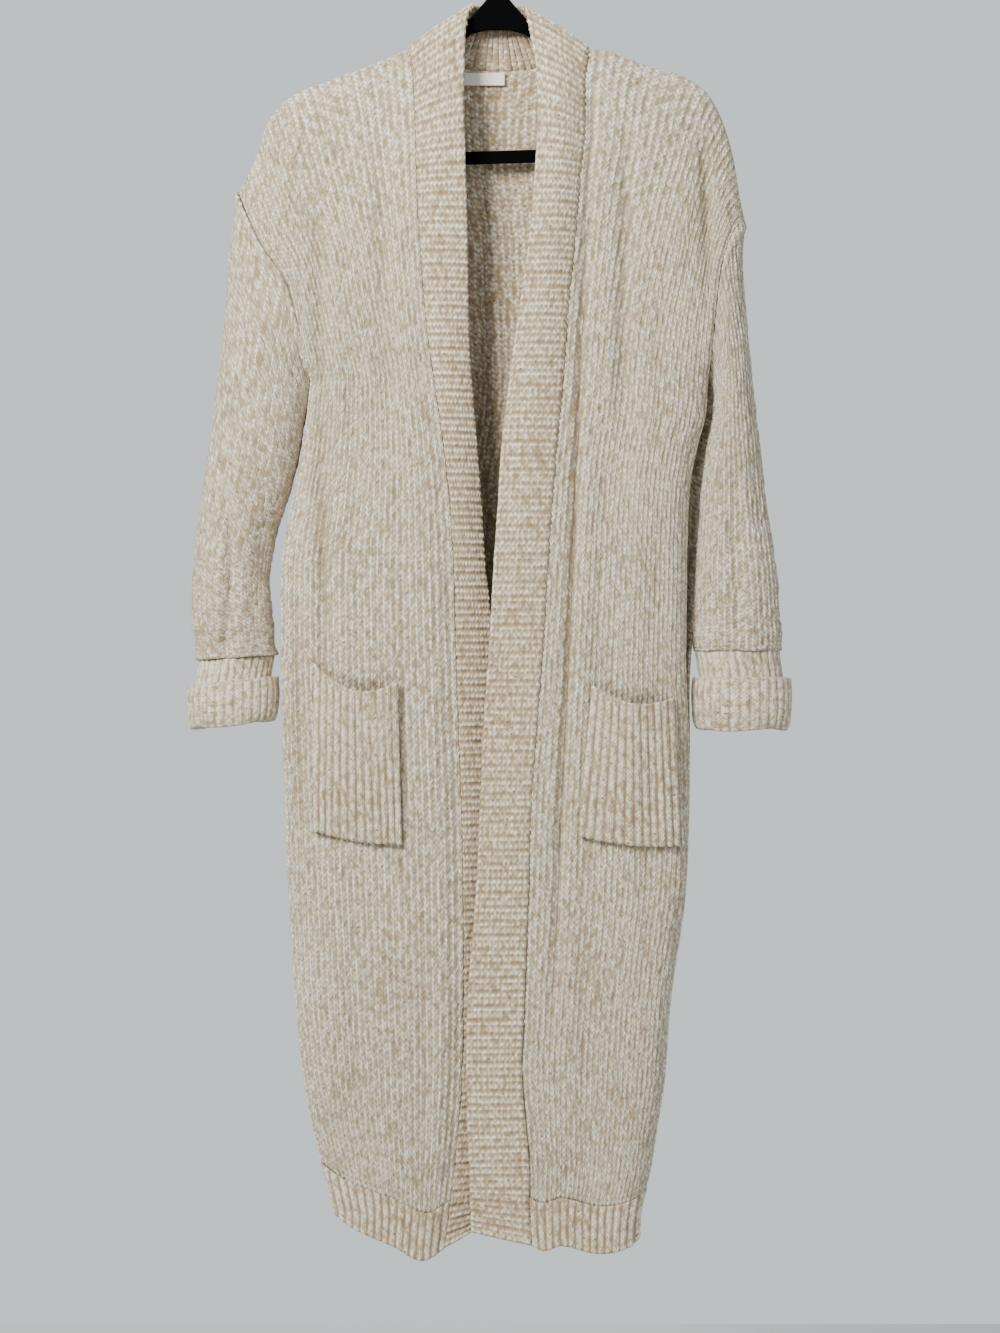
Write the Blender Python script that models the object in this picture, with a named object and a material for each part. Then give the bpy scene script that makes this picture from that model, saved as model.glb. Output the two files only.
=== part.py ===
"""Duster cardigan, hung by its shoulders on a coat hanger.

A long open cardigan in chunky knit: two fronts, a back, two dropped sleeves with turned-back ribbed
cuffs, one ribbed band that runs up one front, round the neck and down the other, two ribbed patch
pockets, ribbed hems and a bare neck label. It hangs flat on a thin flocked hanger with a trouser bar.

Frame: +Z up, the fronts face -Y, +X is the wearer's left. The origin is the inside of the hook's bend,
where a rail or a peg holds it. Sizes are worked out in millimetres and made in metres. A "drop" is a
distance below the origin, and a "depth" is a distance in front of the hanger's plane.
"""

import math

import bmesh
import bpy
from mathutils import Vector

MM = 0.001
SEAM_GAP = 0.3
HALF_GAP = 0.2
KNIT_WALL = 3.0
RIB_WALL = 3.4
RIB_RELIEF = 1.4
BAND_RIB_PITCH = 14.3
HEM_RIB_PITCH = 8.2
HEM_HEIGHT = 48.0
HEM_GAP = 0.8
POCKET_RIBS = 12
CUFF_RIBS = 30

FRONT_FULLNESS = 34.0
BACK_FULLNESS = 26.0
SHOULDER_ROUNDING = 120.0
HANGER_ROOM = 3.0
ARMHOLE_HALF_DEPTH = 24.0

CREAM = (0.61, 0.56, 0.45, 1.0)
LABEL_WHITE = (0.72, 0.70, 0.64, 1.0)
FLOCK_BLACK = (0.006, 0.006, 0.007, 1.0)
STEEL = (0.62, 0.62, 0.63, 1.0)

COLLECTION = "Duster cardigan"

# Angles round the armhole and the sleeve, from the shoulder tip (0) to the underarm (180).
ARM_ANGLES = (0, 10, 27, 52, 78, 104, 130, 153, 170, 180)
# Shares of a front's width, from the band seam to the side: closer where the cloth rounds over.
FRONT_COLUMNS = (0.0, 0.05, 0.12, 0.20, 0.30, 0.41, 0.52, 0.63, 0.73, 0.82, 0.89, 0.94, 0.98, 1.0)
# Shares of the back's width, from the wearer's right to the left.
BACK_COLUMNS = (0.0, 0.015, 0.05, 0.10, 0.17, 0.25, 0.33, 0.385, 0.44, 0.50,
                0.56, 0.615, 0.67, 0.75, 0.83, 0.90, 0.95, 0.985, 1.0)
ROWS_BELOW_ARM = 14


def table(columns, *rows):
    """A short table: each named column becomes a list of its values."""
    names = columns.split()
    return {name: [row[place] for row in rows] for place, name in enumerate(names)}


# The line of each front where its band is sewn on, from the neck down to the hem.
BAND_SEAM = {
    "right": table(
        "drop x",
        (121, -92), (136, -88), (200, -84), (292, -81), (380, -75), (428, -70), (462, -65), (524, -56),
        (586, -49), (650, -45), (732, -43), (845, -39), (933, -36), (1112, -35), (1182, -37),
        (1243, -42), (1305, -49), (1345, -54)),
    "left": table(
        "drop x",
        (121, 93), (155, 89), (213, 88), (262, 83), (321, 78), (390, 71), (462, 66), (524, 60),
        (586, 55), (660, 50), (756, 44), (845, 37), (911, 33), (977, 31), (1112, 26), (1165, 24),
        (1253, 31), (1305, 32), (1340, 34)),
}

# The outline of each side below the underarm.
SIDE_EDGE = {
    "right": table(
        "drop x",
        (461, -193), (501, -197), (536, -202), (582, -211), (646, -222), (727, -223), (806, -222),
        (899, -219), (972, -216), (1112, -207), (1182, -199), (1217, -193), (1270, -179), (1309, -169)),
    "left": table(
        "drop x",
        (457, 216), (498, 213), (528, 205), (566, 198), (615, 195), (673, 194), (760, 193), (831, 196),
        (919, 196), (993, 192), (1094, 178), (1182, 171), (1226, 164), (1270, 157), (1305, 148),
        (1335, 145)),
}

# The ridge of each shoulder, from the neck over the hanger's arm to the dropped sleeve seam.
SHOULDER = {
    "right": table(
        "x drop",
        (-92, 121), (-112, 129), (-135, 139), (-159, 147), (-180, 156), (-199, 162), (-220, 175),
        (-236, 196), (-247, 228), (-261, 259), (-266, 270)),
    "left": table(
        "x drop",
        (93, 121), (112, 122), (126, 127), (141, 133), (161, 140), (181, 145), (196, 152), (213, 164),
        (225, 183), (234, 205), (242, 235), (248, 273), (253, 296)),
}

# The dropped sleeve seam as the front view shows it, from the shoulder tip to the underarm.
ARMHOLE = {
    "right": table("x drop", (-266, 270), (-243, 325), (-217, 366), (-205, 410), (-193, 461)),
    "left": table("x drop", (253, 296), (240, 312), (228, 345), (221, 400), (216, 457)),
}

# The hem's lowest line, from the band to the side.
HEM_LINE = {
    "right": table("share drop", (0.0, 1345), (0.2, 1355), (0.45, 1341), (0.75, 1326), (1.0, 1309)),
    "left": table(
        "share drop",
        (0.0, 1340), (0.12, 1345), (0.27, 1340), (0.6, 1348), (0.85, 1344), (1.0, 1335)),
}

# The band's free edge, by how far down its seam lies. Its depth falls where the edge curls inwards.
BAND_EDGE = {
    "right": table(
        "seam_drop x drop depth roll",
        (121, -25, 75, 1, 2), (124, -28, 81, 5, 2), (131, -31, 90, 9, 3), (145, -33, 108, 14, 3),
        (165, -34, 138, 20, 4), (200, -34, 186, 25, 4), (240, -33, 235, 27, 4), (311, -31, 311, 26, 4),
        (428, -29, 428, 24, 4), (524, -22, 524, 18, 3), (586, -17, 586, 15, 3), (650, -13, 650, 13, 2),
        (733, -4, 733, 12, 1), (845, 2, 845, 12, 1), (1112, 6, 1112, 12, 1), (1243, 0, 1243, 13, 1),
        (1305, -9, 1300, 14, 1), (1345, -16, 1325, 14, 1)),
    "left": table(
        "seam_drop x drop depth roll",
        (121, 26, 77, 1, 2), (124, 28, 83, 5, 3), (131, 30, 93, 9, 4), (145, 33, 112, 15, 5),
        (165, 38, 140, 22, 6), (200, 40, 186, 28, 7), (240, 38, 236, 32, 7), (321, 31, 321, 34, 6),
        (428, 16, 428, 35, 5), (524, 4, 524, 36, 4), (586, 0, 586, 36, 3), (660, -5, 660, 36, 2),
        (734, -9, 734, 36, 1), (818, -15, 818, 36, 1), (977, -22, 977, 36, 1), (1094, -31, 1094, 36, 1),
        (1182, -32, 1182, 36, 1), (1270, -29, 1270, 36, 1), (1340, -27, 1326, 36, 1)),
}
# The same edge round the back of the neck, from the wearer's right to the left.
BAND_EDGE_NECK = table(
    "share x drop depth roll",
    (0.0, -25, 75, -1, 2), (0.1, -24, 74, -6, 2), (0.3, -13, 73, -13, 2), (0.5, 0, 73, -15, 2),
    (0.7, 13, 74, -13, 2), (0.9, 25, 76, -6, 2), (1.0, 26, 77, -1, 2))

# Where the band turns over the hanger's arms, its seam is looser.
NECK_REACH = 136.0
NECK_GAP = 2.6
NECK_SEAM_DROP = 140.0
NECK_SEAM_DEPTH = 14.0

# Each sleeve from just under its seam to the cuff, by the outer and the inner side of the front view.
SLEEVE = {
    "right": table(
        "outer_x outer_drop inner_x inner_drop half_depth",
        (-272, 338, -200, 497, 27), (-279, 410, -206, 536, 28), (-288, 490, -217, 580, 28),
        (-299, 570, -230, 618, 27), (-308, 645, -237, 661, 26), (-311, 700, -234, 706, 26),
        (-307, 748, -229, 743, 25)),
    "left": table(
        "outer_x outer_drop inner_x inner_drop half_depth",
        (251, 344, 221, 477, 30), (256, 416, 219, 508, 31), (264, 493, 213, 539, 31),
        (273, 566, 208, 590, 30), (282, 632, 203, 646, 29), (289, 690, 201, 698, 28),
        (289, 738, 202, 739, 26)),
}
SLEEVE_RINGS = 12

# Each cuff: its middle, its turned-up edge, its fold at the bottom, its half width and its slope.
CUFF = {
    "right": {"x": -272, "top": 770, "foot": 814, "half_width": 47, "slope": -0.11},
    "left": {"x": 250, "top": 767, "foot": 819, "half_width": 51, "slope": 0.0},
}
CUFF_HALF_DEPTH = 35.0
# The cuff's cut: how far outside its middle line each corner lies, and its share of the way down
# from the sleeve's end (0) by the turned-up edge (1) to the fold at the bottom (2).
CUFF_CUT = table(
    "out way ribbed",
    (-11.5, 0.0, 0), (-8.3, 0.0, 1), (-8.3, 1.0, 1), (-7.6, 1.6, 0), (-6.0, 1.84, 0), (-4.4, 1.6, 0),
    (-4.4, 0.98, 0), (-1.2, 0.98, 1), (0.0, 1.2, 1), (0.0, 1.7, 1), (-3.0, 2.0, 0), (-8.6, 2.0, 0),
    (-11.5, 1.7, 0))

# The main folds: soft troughs (or ridges, with a negative sink) that run down a panel.
FOLDS = {
    "front_right": table(
        "x_top drop_top x_foot drop_foot sink half_width",
        (-182, 290, -173, 800, 5, 11), (-206, 640, -196, 960, 5, 9), (-120, 200, -110, 520, 3, 12),
        (-70, 900, -75, 1300, 3, 12)),
    "front_left": table(
        "x_top drop_top x_foot drop_foot sink half_width",
        (99, 130, 54, 1150, 6, 7), (132, 190, 126, 520, 4, 10), (212, 215, 216, 400, 8, 9),
        (160, 600, 150, 1150, 3, 14)),
    "back": table(
        "x_top drop_top x_foot drop_foot sink half_width",
        (-15, 150, -15, 1250, -3, 9), (-110, 350, -125, 1200, 5, 14), (105, 380, 118, 1250, 5, 14),
        (50, 700, 60, 1300, 3, 12)),
    "sleeve_right": table("x_top drop_top x_foot drop_foot sink half_width", (-270, 600, -277, 760, 7, 8)),
    "sleeve_left": table("x_top drop_top x_foot drop_foot sink half_width", (240, 540, 246, 700, 4, 10)),
}

# Each pocket on the front view: its corners, how far its mouth sags, and how far it stands open.
POCKET = {
    "right": {"top": (-186, -101), "foot": (-187, -97), "top_drops": (751, 770), "foot_drops": (920, 934),
              "sag": 18, "open": 10.0},
    "left": {"top": (95, 178), "foot": (82, 188), "top_drops": (773, 786), "foot_drops": (926, 936),
             "sag": 12, "open": 10.0},
}
POCKET_LIFT = 0.9

LABEL_CENTRE = -15.0
LABEL_WIDTH = 44.0
LABEL_HEIGHT = 13.0
LABEL_THICKNESS = 0.8

HANGER_THICKNESS = 4.4
HANGER_ROUNDING = 1.2
HANGER_CLEARANCE = 9.5
# The hanger's outline under the neck; beyond it the arms follow the shoulders.
HANGER_MIDDLE = table("x top foot", (0, 62, 101), (12, 70, 101), (27, 88, 105), (60, 114, 129), (88, 132, 150))
HANGER_ARM_END = 208.0
HANGER_ARM_HEIGHT = (19.0, 16.0)
BAR_DROP = 231.6
BAR_HEIGHT = 13.0
BAR_SLOPE = -0.03
UPRIGHT_REACH = (182.0, 196.0)

HOOK_WIRE_RADIUS = 1.9
HOOK_BEND_RADIUS = 21.0


def smooth(rows, key, want, at):
    """Read a table between its rows, on a smooth curve that passes through each row."""
    places = rows[key]
    values = rows[want]
    rising = places[-1] > places[0]
    last = len(places) - 1
    if (at <= places[0]) == rising:
        return values[0]
    if (at >= places[last]) == rising:
        return values[last]
    step = next(i for i in range(last) if (at <= places[i + 1]) == rising or at == places[i + 1])
    span = places[step + 1] - places[step]
    share = (at - places[step]) / span

    def slope(i):
        low = max(i - 1, 0)
        high = min(i + 1, last)
        return (values[high] - values[low]) / (places[high] - places[low])

    start = slope(step) * span
    end = slope(step + 1) * span
    return ((2 * share ** 3 - 3 * share ** 2 + 1) * values[step]
            + (share ** 3 - 2 * share ** 2 + share) * start
            + (3 * share ** 2 - 2 * share ** 3) * values[step + 1]
            + (share ** 3 - share ** 2) * end)


def mix(low, high, share):
    """A value at a share of the way between two others."""
    return low + (high - low) * share


def point(x, depth, drop):
    """A place in space, from its place on the front view and its depth in front of the hanger."""
    return Vector((x, -depth, -drop))


def line_point(line, share):
    """A point at a share of a line's length; the line is a list of points."""
    lengths = [(b - a).length for a, b in zip(line, line[1:])]
    left = share * sum(lengths)
    for start, end, length in zip(line, line[1:], lengths):
        if left <= length:
            return start.lerp(end, left / length)
        left -= length
    return line[-1].copy()


def table_line(rows):
    """A drawn line in the hanger's plane, as points."""
    return [point(x, 0.0, drop) for x, drop in zip(rows["x"], rows["drop"])]


def fold_sink(name, x, drop):
    """How far the folds of a panel sink its cloth at a place on the front view."""
    folds = FOLDS[name]
    total = 0.0
    for x_top, drop_top, x_foot, drop_foot, sink, half_width in zip(*folds.values()):
        way = (drop - drop_top) / (drop_foot - drop_top)
        if not 0.0 < way < 1.0:
            continue
        across = (x - mix(x_top, x_foot, way)) / half_width
        total += sink * math.sin(math.pi * way) ** 0.6 * math.exp(-across * across)
    return total


def shoulder_depth(fullness, below):
    """How far the cloth stands off the hanger's plane, at a distance below the shoulder's ridge."""
    below = max(below, 0.0)
    round_over = HANGER_ROOM * (1.0 - math.exp(-below / HANGER_ROOM))
    return round_over + fullness * (1.0 - math.exp(-math.sqrt(below / SHOULDER_ROUNDING)))


def side_rounding(share):
    """1 across a panel and 0 at its side, along a rounded corner."""
    start = 0.72
    if share <= start:
        return 1.0
    return (1.0 - ((share - start) / (1.0 - start)) ** 2.4) ** (1.0 / 2.4)


def arm_share(angle):
    """How far along the sleeve seam's line an angle round the armhole lies."""
    return (1.0 - math.cos(math.radians(angle))) / 2.0


def arm_normal(side, angle, facing):
    """Out of the cloth at the sleeve seam; facing is 1 on the front half and -1 on the back half."""
    out = -1.0 if side == "right" else 1.0
    turn = math.radians(angle)
    lean = Vector((out * 0.85, 0.0, 0.5)) if angle <= 90 else Vector((out * 0.1, 0.0, -1.0))
    normal = lean.normalized() * abs(math.cos(turn)) + Vector((0.0, -facing * 2.4, 0.0)) * math.sin(turn)
    return normal.normalized()


def arm_point(side, angle, facing):
    """The sleeve seam's line, on the front half (facing 1) or the back half (facing -1)."""
    place = line_point(table_line(ARMHOLE[side]), arm_share(angle))
    depth = max(ARMHOLE_HALF_DEPTH * math.sin(math.radians(angle)), HALF_GAP)
    return point(place.x, facing * depth, -place.z)


def front_grid(side):
    """A front's outer face: rows down from the shoulder, columns from the band seam to the side."""
    seam = BAND_SEAM[side]
    edge = SIDE_EDGE[side]
    ridge = table_line(SHOULDER[side])
    neck = seam["drop"][0]
    under = edge["drop"][0]
    rows = []
    for angle in ARM_ANGLES:
        share = arm_share(angle)
        drop = mix(neck, under, share)
        start = Vector((smooth(seam, "drop", "x", drop), 0.0, -drop))
        end = arm_point(side, angle, 1)
        end_depth = -end.y
        row = []
        for column in FRONT_COLUMNS:
            top = line_point(ridge, column)
            bulge = top - ridge[0].lerp(ridge[-1], column)
            place = start.lerp(end, column) + bulge * (1.0 - share) ** 1.5
            inner_depth = shoulder_depth(FRONT_FULLNESS, drop - neck)
            if angle < 90:
                depth = mix(inner_depth, end_depth, column)
            else:
                open_share = min(end_depth / inner_depth, 1.0)
                depth = inner_depth * (open_share + (1.0 - open_share) * side_rounding(column))
            sink = fold_sink("front_" + side, place.x, -place.z) * min(share * 6.0, 1.0)
            if column == 1.0:
                sink = 0.0
            row.append(point(place.x, max(depth - sink, HALF_GAP), -place.z))
        rows.append(row)
    for step in range(1, ROWS_BELOW_ARM + 1):
        rows.append([front_lower_point(side, column, step / ROWS_BELOW_ARM) for column in FRONT_COLUMNS])
    return rows


def band_recess(side, drop):
    """The wearer's right band lies under the left one, so its front dips towards it."""
    if side == "left":
        return 0.0
    return 11.0 * min(max((drop - 480.0) / 240.0, 0.0), 1.0)


def front_lower_point(side, column, way, hem=0.0):
    """A point of a front below the underarm; hem moves it from the hem rib's seam (0) to its edge (1)."""
    under = SIDE_EDGE[side]["drop"][0]
    foot = smooth(HEM_LINE[side], "share", "drop", column)
    drop = mix(under, foot - HEM_HEIGHT, way) + HEM_HEIGHT * hem
    x = mix(smooth(BAND_SEAM[side], "drop", "x", drop), smooth(SIDE_EDGE[side], "drop", "x", drop), column)
    depth = shoulder_depth(FRONT_FULLNESS, drop - BAND_SEAM[side]["drop"][0]) * side_rounding(column)
    depth -= band_recess(side, drop) * math.exp(-(column / 0.1) ** 2)
    depth -= fold_sink("front_" + side, x, drop) * side_rounding(column)
    return point(x, max(depth, HALF_GAP), drop)


def back_grid():
    """The back's outer face: rows down from the shoulders and the neck, columns from right to left."""
    top_line = [back_top(column) for column in BACK_COLUMNS]
    rows = []
    for angle in ARM_ANGLES:
        share = arm_share(angle)
        start = arm_point("right", angle, -1)
        end = arm_point("left", angle, -1)
        row = []
        for column, (top, ease) in zip(BACK_COLUMNS, top_line):
            bulge = top - top_line[0][0].lerp(top_line[-1][0], column)
            bulge.y = 0.0
            place = start.lerp(end, column) + bulge * (1.0 - share)
            below = top.z - place.z
            middle = shoulder_depth(BACK_FULLNESS, max(below, 0.0) + ease)
            to_side = min(column, 1.0 - column) * 2.0
            side_depth = start.y
            if angle < 90:
                depth = mix(side_depth, middle, min(to_side * 2.0, 1.0))
            else:
                open_share = min(side_depth / middle, 1.0)
                depth = middle * (open_share + (1.0 - open_share) * side_rounding(1.0 - to_side))
            if column in (0.0, 1.0):
                depth = side_depth
            sink = fold_sink("back", place.x, -place.z) * min(share * 4.0, 1.0) * side_rounding(1.0 - to_side)
            row.append(point(place.x, -max(depth - sink, HALF_GAP), -place.z))
        rows.append(row)
    for step in range(1, ROWS_BELOW_ARM + 1):
        rows.append([back_lower_point(column, step / ROWS_BELOW_ARM) for column in BACK_COLUMNS])
    return rows


def back_top(column):
    """The back's top edge, and how much rounder it is there than on the shoulder's ridge."""
    neck_start = BACK_COLUMNS[6]
    neck_end = BACK_COLUMNS[-7]
    if column <= neck_start:
        line = list(reversed(table_line(SHOULDER["right"])))
        return line_point(line, column / neck_start), 0.0
    if column >= neck_end:
        line = table_line(SHOULDER["left"])
        return line_point(line, (column - neck_end) / (1.0 - neck_end)), 0.0
    way = (column - neck_start) / (neck_end - neck_start)
    left = table_line(SHOULDER["left"])[0]
    right = table_line(SHOULDER["right"])[0]
    round_in = math.sin(math.pi * way) ** 0.7
    drop = mix(-right.z, -left.z, way) + (NECK_SEAM_DROP - 121.0) * round_in
    ease = SHOULDER_ROUNDING * math.log(1.0 - NECK_SEAM_DEPTH * round_in / BACK_FULLNESS) ** 2
    return point(mix(right.x, left.x, way), 0.0, drop), ease


def back_lower_point(column, way, hem=0.0):
    """A point of the back below the underarm."""
    under = mix(SIDE_EDGE["right"]["drop"][0], SIDE_EDGE["left"]["drop"][0], column)
    foot = mix(HEM_LINE["right"]["drop"][-1], HEM_LINE["left"]["drop"][-1], column)
    foot += 6.0 * math.sin(math.pi * column)
    drop = mix(under, foot - HEM_HEIGHT, way) + HEM_HEIGHT * hem
    right = smooth(SIDE_EDGE["right"], "drop", "x", drop)
    left = smooth(SIDE_EDGE["left"], "drop", "x", drop)
    x = mix(right, left, column)
    to_side = 1.0 - min(column, 1.0 - column) * 2.0
    depth = shoulder_depth(BACK_FULLNESS, drop - 100.0) * side_rounding(to_side)
    depth -= fold_sink("back", x, drop) * side_rounding(to_side)
    return point(x, -max(depth, HALF_GAP), drop)


def grid_normals(grid, towards, closed=False):
    """The direction out of the cloth at each point; towards says which face is the outer one."""
    rows = len(grid)
    columns = len(grid[0])
    normals = []
    for i in range(rows):
        line = []
        for j in range(columns):
            down = grid[min(i + 1, rows - 1)][j] - grid[max(i - 1, 0)][j]
            if closed:
                across = grid[i][(j + 1) % columns] - grid[i][(j - 1) % columns]
            else:
                across = grid[i][min(j + 1, columns - 1)] - grid[i][max(j - 1, 0)]
            line.append(down.cross(across).normalized())
        normals.append(line)
    middle = normals[rows // 2][columns // 2]
    if middle.dot(towards) < 0.0:
        normals = [[-normal for normal in line] for line in normals]
    return normals


def flat_normal(before, after, towards):
    """At a seam in the hanger's plane, the direction out of the cloth stays in that plane."""
    along = after - before
    normal = Vector((along.z, 0.0, -along.x)).normalized()
    if normal.dot(towards) < 0.0:
        normal = -normal
    return normal


def set_seam_normals(grid, normals, sides, facing):
    """Shoulder, sleeve and side seams share one direction, so the pieces meet edge to edge."""
    last_arm = len(ARM_ANGLES) - 1
    top = grid[0]
    for j in range(len(top)):
        if facing > 0 or abs(top[j].y) < 1.0:
            before = top[max(j - 1, 0)]
            after = top[min(j + 1, len(top) - 1)]
            normals[0][j] = flat_normal(before, after, Vector((0.0, 0.0, 1.0)))
    for side, column in sides.items():
        out = Vector((-1.0 if side == "right" else 1.0, 0.0, 0.0))
        for i, angle in enumerate(ARM_ANGLES):
            normals[i][column] = arm_normal(side, angle, facing)
        for i in range(last_arm + 1, len(grid)):
            after = grid[min(i + 1, len(grid) - 1)][column]
            normals[i][column] = flat_normal(grid[i - 1][column], after, out)


def offset_grid(grid, normals, distance):
    """A grid moved out along its normals, or in where the distance is negative."""
    return [[place + normal * distance for place, normal in zip(*lines)] for lines in zip(grid, normals)]


def keep_in_front(grid, facing):
    """A panel stays on its own side of the hanger's plane, with half the seam's gap to it."""
    for row in grid:
        for place in row:
            if place.y * facing > -HALF_GAP:
                place.y = -HALF_GAP * facing
    return grid


def zip_edges(mesh, first, second):
    """Close the strip between two edges, which may have different numbers of points."""
    i = 0
    j = 0
    last_first = len(first) - 1
    last_second = len(second) - 1
    while i < last_first or j < last_second:
        next_first = (i + 1) / last_first
        next_second = (j + 1) / last_second
        if abs(next_first - next_second) < 1e-6:
            mesh.faces.new((first[i], first[i + 1], second[j + 1], second[j]))
            i += 1
            j += 1
        elif next_first < next_second:
            mesh.faces.new((first[i], first[i + 1], second[j]))
            i += 1
        else:
            mesh.faces.new((first[i], second[j + 1], second[j]))
            j += 1


def grid_faces(mesh, verts, closed):
    """Four-sided faces between the rows of a grid, and round it where it is a tube."""
    columns = len(verts[0])
    for upper, lower in zip(verts, verts[1:]):
        for j in range(columns if closed else columns - 1):
            k = (j + 1) % columns
            mesh.faces.new((upper[j], upper[k], lower[k], lower[j]))


def cloth_solid(name, outer, inner, colour, closed=False):
    """One closed wall between an outer and an inner grid of points, in millimetres."""
    mesh = bmesh.new()
    outside = [[mesh.verts.new(place * MM) for place in row] for row in outer]
    inside = [[mesh.verts.new(place * MM) for place in row] for row in inner]
    grid_faces(mesh, outside, closed)
    grid_faces(mesh, inside, closed)
    for end in (0, -1):
        first = outside[end] + ([outside[end][0]] if closed else [])
        second = inside[end] + ([inside[end][0]] if closed else [])
        zip_edges(mesh, first, second)
    if not closed:
        for end in (0, -1):
            zip_edges(mesh, [row[end] for row in outside], [row[end] for row in inside])
    bmesh.ops.recalc_face_normals(mesh, faces=mesh.faces)
    return finish(name, mesh, colour, roughness=0.95)


def finish(name, mesh, colour, roughness, metallic=0.0):
    """Turn a finished bmesh into a named object with its own material."""
    data = bpy.data.meshes.new(name)
    mesh.to_mesh(data)
    mesh.free()
    data.shade_smooth()
    data.set_sharp_from_angle(angle=math.radians(40))
    data.materials.append(plain_material(name, colour, roughness, metallic))
    piece = bpy.data.objects.new(name, data)
    bpy.data.collections[COLLECTION].objects.link(piece)
    return piece


def plain_material(name, colour, roughness, metallic):
    """A plain finish in the part's own colour."""
    material = bpy.data.materials.new(name)
    material.use_nodes = True
    shader = material.node_tree.nodes["Principled BSDF"]
    shader.inputs["Base Color"].default_value = colour
    shader.inputs["Roughness"].default_value = roughness
    shader.inputs["Metallic"].default_value = metallic
    return material


def make_front(side):
    """A front in plain knit, from the shoulder to the hem rib."""
    grid = front_grid(side)
    normals = grid_normals(grid, Vector((0.0, -1.0, 0.0)))
    set_seam_normals(grid, normals, {side: -1}, 1)
    inner = keep_in_front(offset_grid(grid, normals, -KNIT_WALL), 1)
    cloth_solid("front_" + side, grid, inner, CREAM)
    return grid, normals, inner


def make_back():
    """The back in plain knit, with a shallow curve at the neck."""
    grid = back_grid()
    normals = grid_normals(grid, Vector((0.0, 1.0, 0.0)))
    set_seam_normals(grid, normals, {"right": 0, "left": -1}, -1)
    inner = keep_in_front(offset_grid(grid, normals, -KNIT_WALL), -1)
    cloth_solid("back", grid, inner, CREAM)
    return grid, normals, inner


def share_point(line, shares, at):
    """A point between the columns of a row, along the straight faces that the panel has there."""
    for k in range(len(shares) - 1):
        if at <= shares[k + 1] + 1e-9:
            return line[k].lerp(line[k + 1], (at - shares[k]) / (shares[k + 1] - shares[k]))
    return line[-1].copy()


def make_hem(name, columns, last_row, last_normals, foot_row, facing):
    """A hem rib: upright ribs raised on the outer face, from the panel's last row to the hem."""
    width = sum((b - a).length for a, b in zip(foot_row, foot_row[1:]))
    ribs = round(width / HEM_RIB_PITCH)
    gap = Vector((0.0, 0.0, -HEM_GAP))
    outer = [[], []]
    inner = [[], []]
    for k in range(2 * ribs + 1):
        share = k / (2 * ribs)
        normal = share_point(last_normals, columns, share).normalized()
        relief = RIB_RELIEF if k % 2 else 0.0
        ends = (share_point(last_row, columns, share) + gap, share_point(foot_row, columns, share))
        for row, place in enumerate(ends):
            outer[row].append(place + normal * relief)
            inner[row].append(place - normal * KNIT_WALL)
    keep_in_front(outer, facing)
    keep_in_front(inner, facing)
    cloth_solid(name, outer, inner, CREAM)


def make_hems(panels):
    """The three hem ribs, one to each panel."""
    for side in ("right", "left"):
        grid, normals, _ = panels["front_" + side]
        foot = [front_lower_point(side, column, 1.0, 1.0) for column in FRONT_COLUMNS]
        make_hem("hem_" + side, FRONT_COLUMNS, grid[-1], normals[-1], foot, 1)
        panels["foot_" + side] = foot
    grid, normals, _ = panels["back"]
    foot = [back_lower_point(column, 1.0, 1.0) for column in BACK_COLUMNS]
    make_hem("hem_back", BACK_COLUMNS, grid[-1], normals[-1], foot, -1)


def sleeve_ring(side, way):
    """A ring of the sleeve's outer face: way runs from the seam (0) to the cuff (1)."""
    rows = SLEEVE[side]
    count = len(rows["outer_x"])
    stations = {"at": [0.0] + [(k + 1) / count for k in range(count)]}
    armhole = ARMHOLE[side]
    first = {
        "outer_x": armhole["x"][0], "outer_drop": armhole["drop"][0],
        "inner_x": armhole["x"][-1], "inner_drop": armhole["drop"][-1],
        "half_depth": ARMHOLE_HALF_DEPTH,
    }
    values = {}
    for column, start in first.items():
        stations[column] = [start] + rows[column]
        values[column] = smooth(stations, "at", column, way)
    outer = point(values["outer_x"], 0.0, values["outer_drop"])
    inner = point(values["inner_x"], 0.0, values["inner_drop"])
    seam_line = table_line(armhole)
    ring = []
    for facing, angle in sleeve_angles():
        share = arm_share(angle)
        bulge = line_point(seam_line, share) - seam_line[0].lerp(seam_line[-1], share)
        place = outer.lerp(inner, share) + bulge * max(1.0 - way * 4.0, 0.0)
        depth = values["half_depth"] * math.sin(math.radians(angle)) * facing
        if facing > 0:
            depth -= fold_sink("sleeve_" + side, place.x, -place.z)
        ring.append(point(place.x, depth, -place.z))
    return ring


def sleeve_angles():
    """Round the sleeve: down its front half and up its back half."""
    front = [(1, angle) for angle in ARM_ANGLES]
    back = [(-1, angle) for angle in reversed(ARM_ANGLES[1:-1])]
    return front + back


def make_sleeve(side):
    """A sleeve in plain knit; its first ring is the sleeve seam itself, moved off it by the gap."""
    out = -1.0 if side == "right" else 1.0
    away = Vector((out * 0.93, 0.0, -0.37)) * (SEAM_GAP * 1.6)
    rings = [sleeve_ring(side, k / (SLEEVE_RINGS - 1)) for k in range(SLEEVE_RINGS)]
    normals = grid_normals(rings, Vector((0.0, -1.0, 0.0)), closed=True)
    for ring, line in zip(rings, normals):
        centre = sum(ring, Vector()) / len(ring)
        for j, place in enumerate(ring):
            if line[j].dot(place - centre) < 0.0:
                line[j] = -line[j]
    normals[0] = [arm_normal(side, angle, facing) for facing, angle in sleeve_angles()]
    rings[0] = [place + away for place in rings[0]]
    inner = offset_grid(rings, normals, -KNIT_WALL)
    cloth_solid("sleeve_" + side, rings, inner, CREAM, closed=True)
    return rings[-1]


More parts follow.
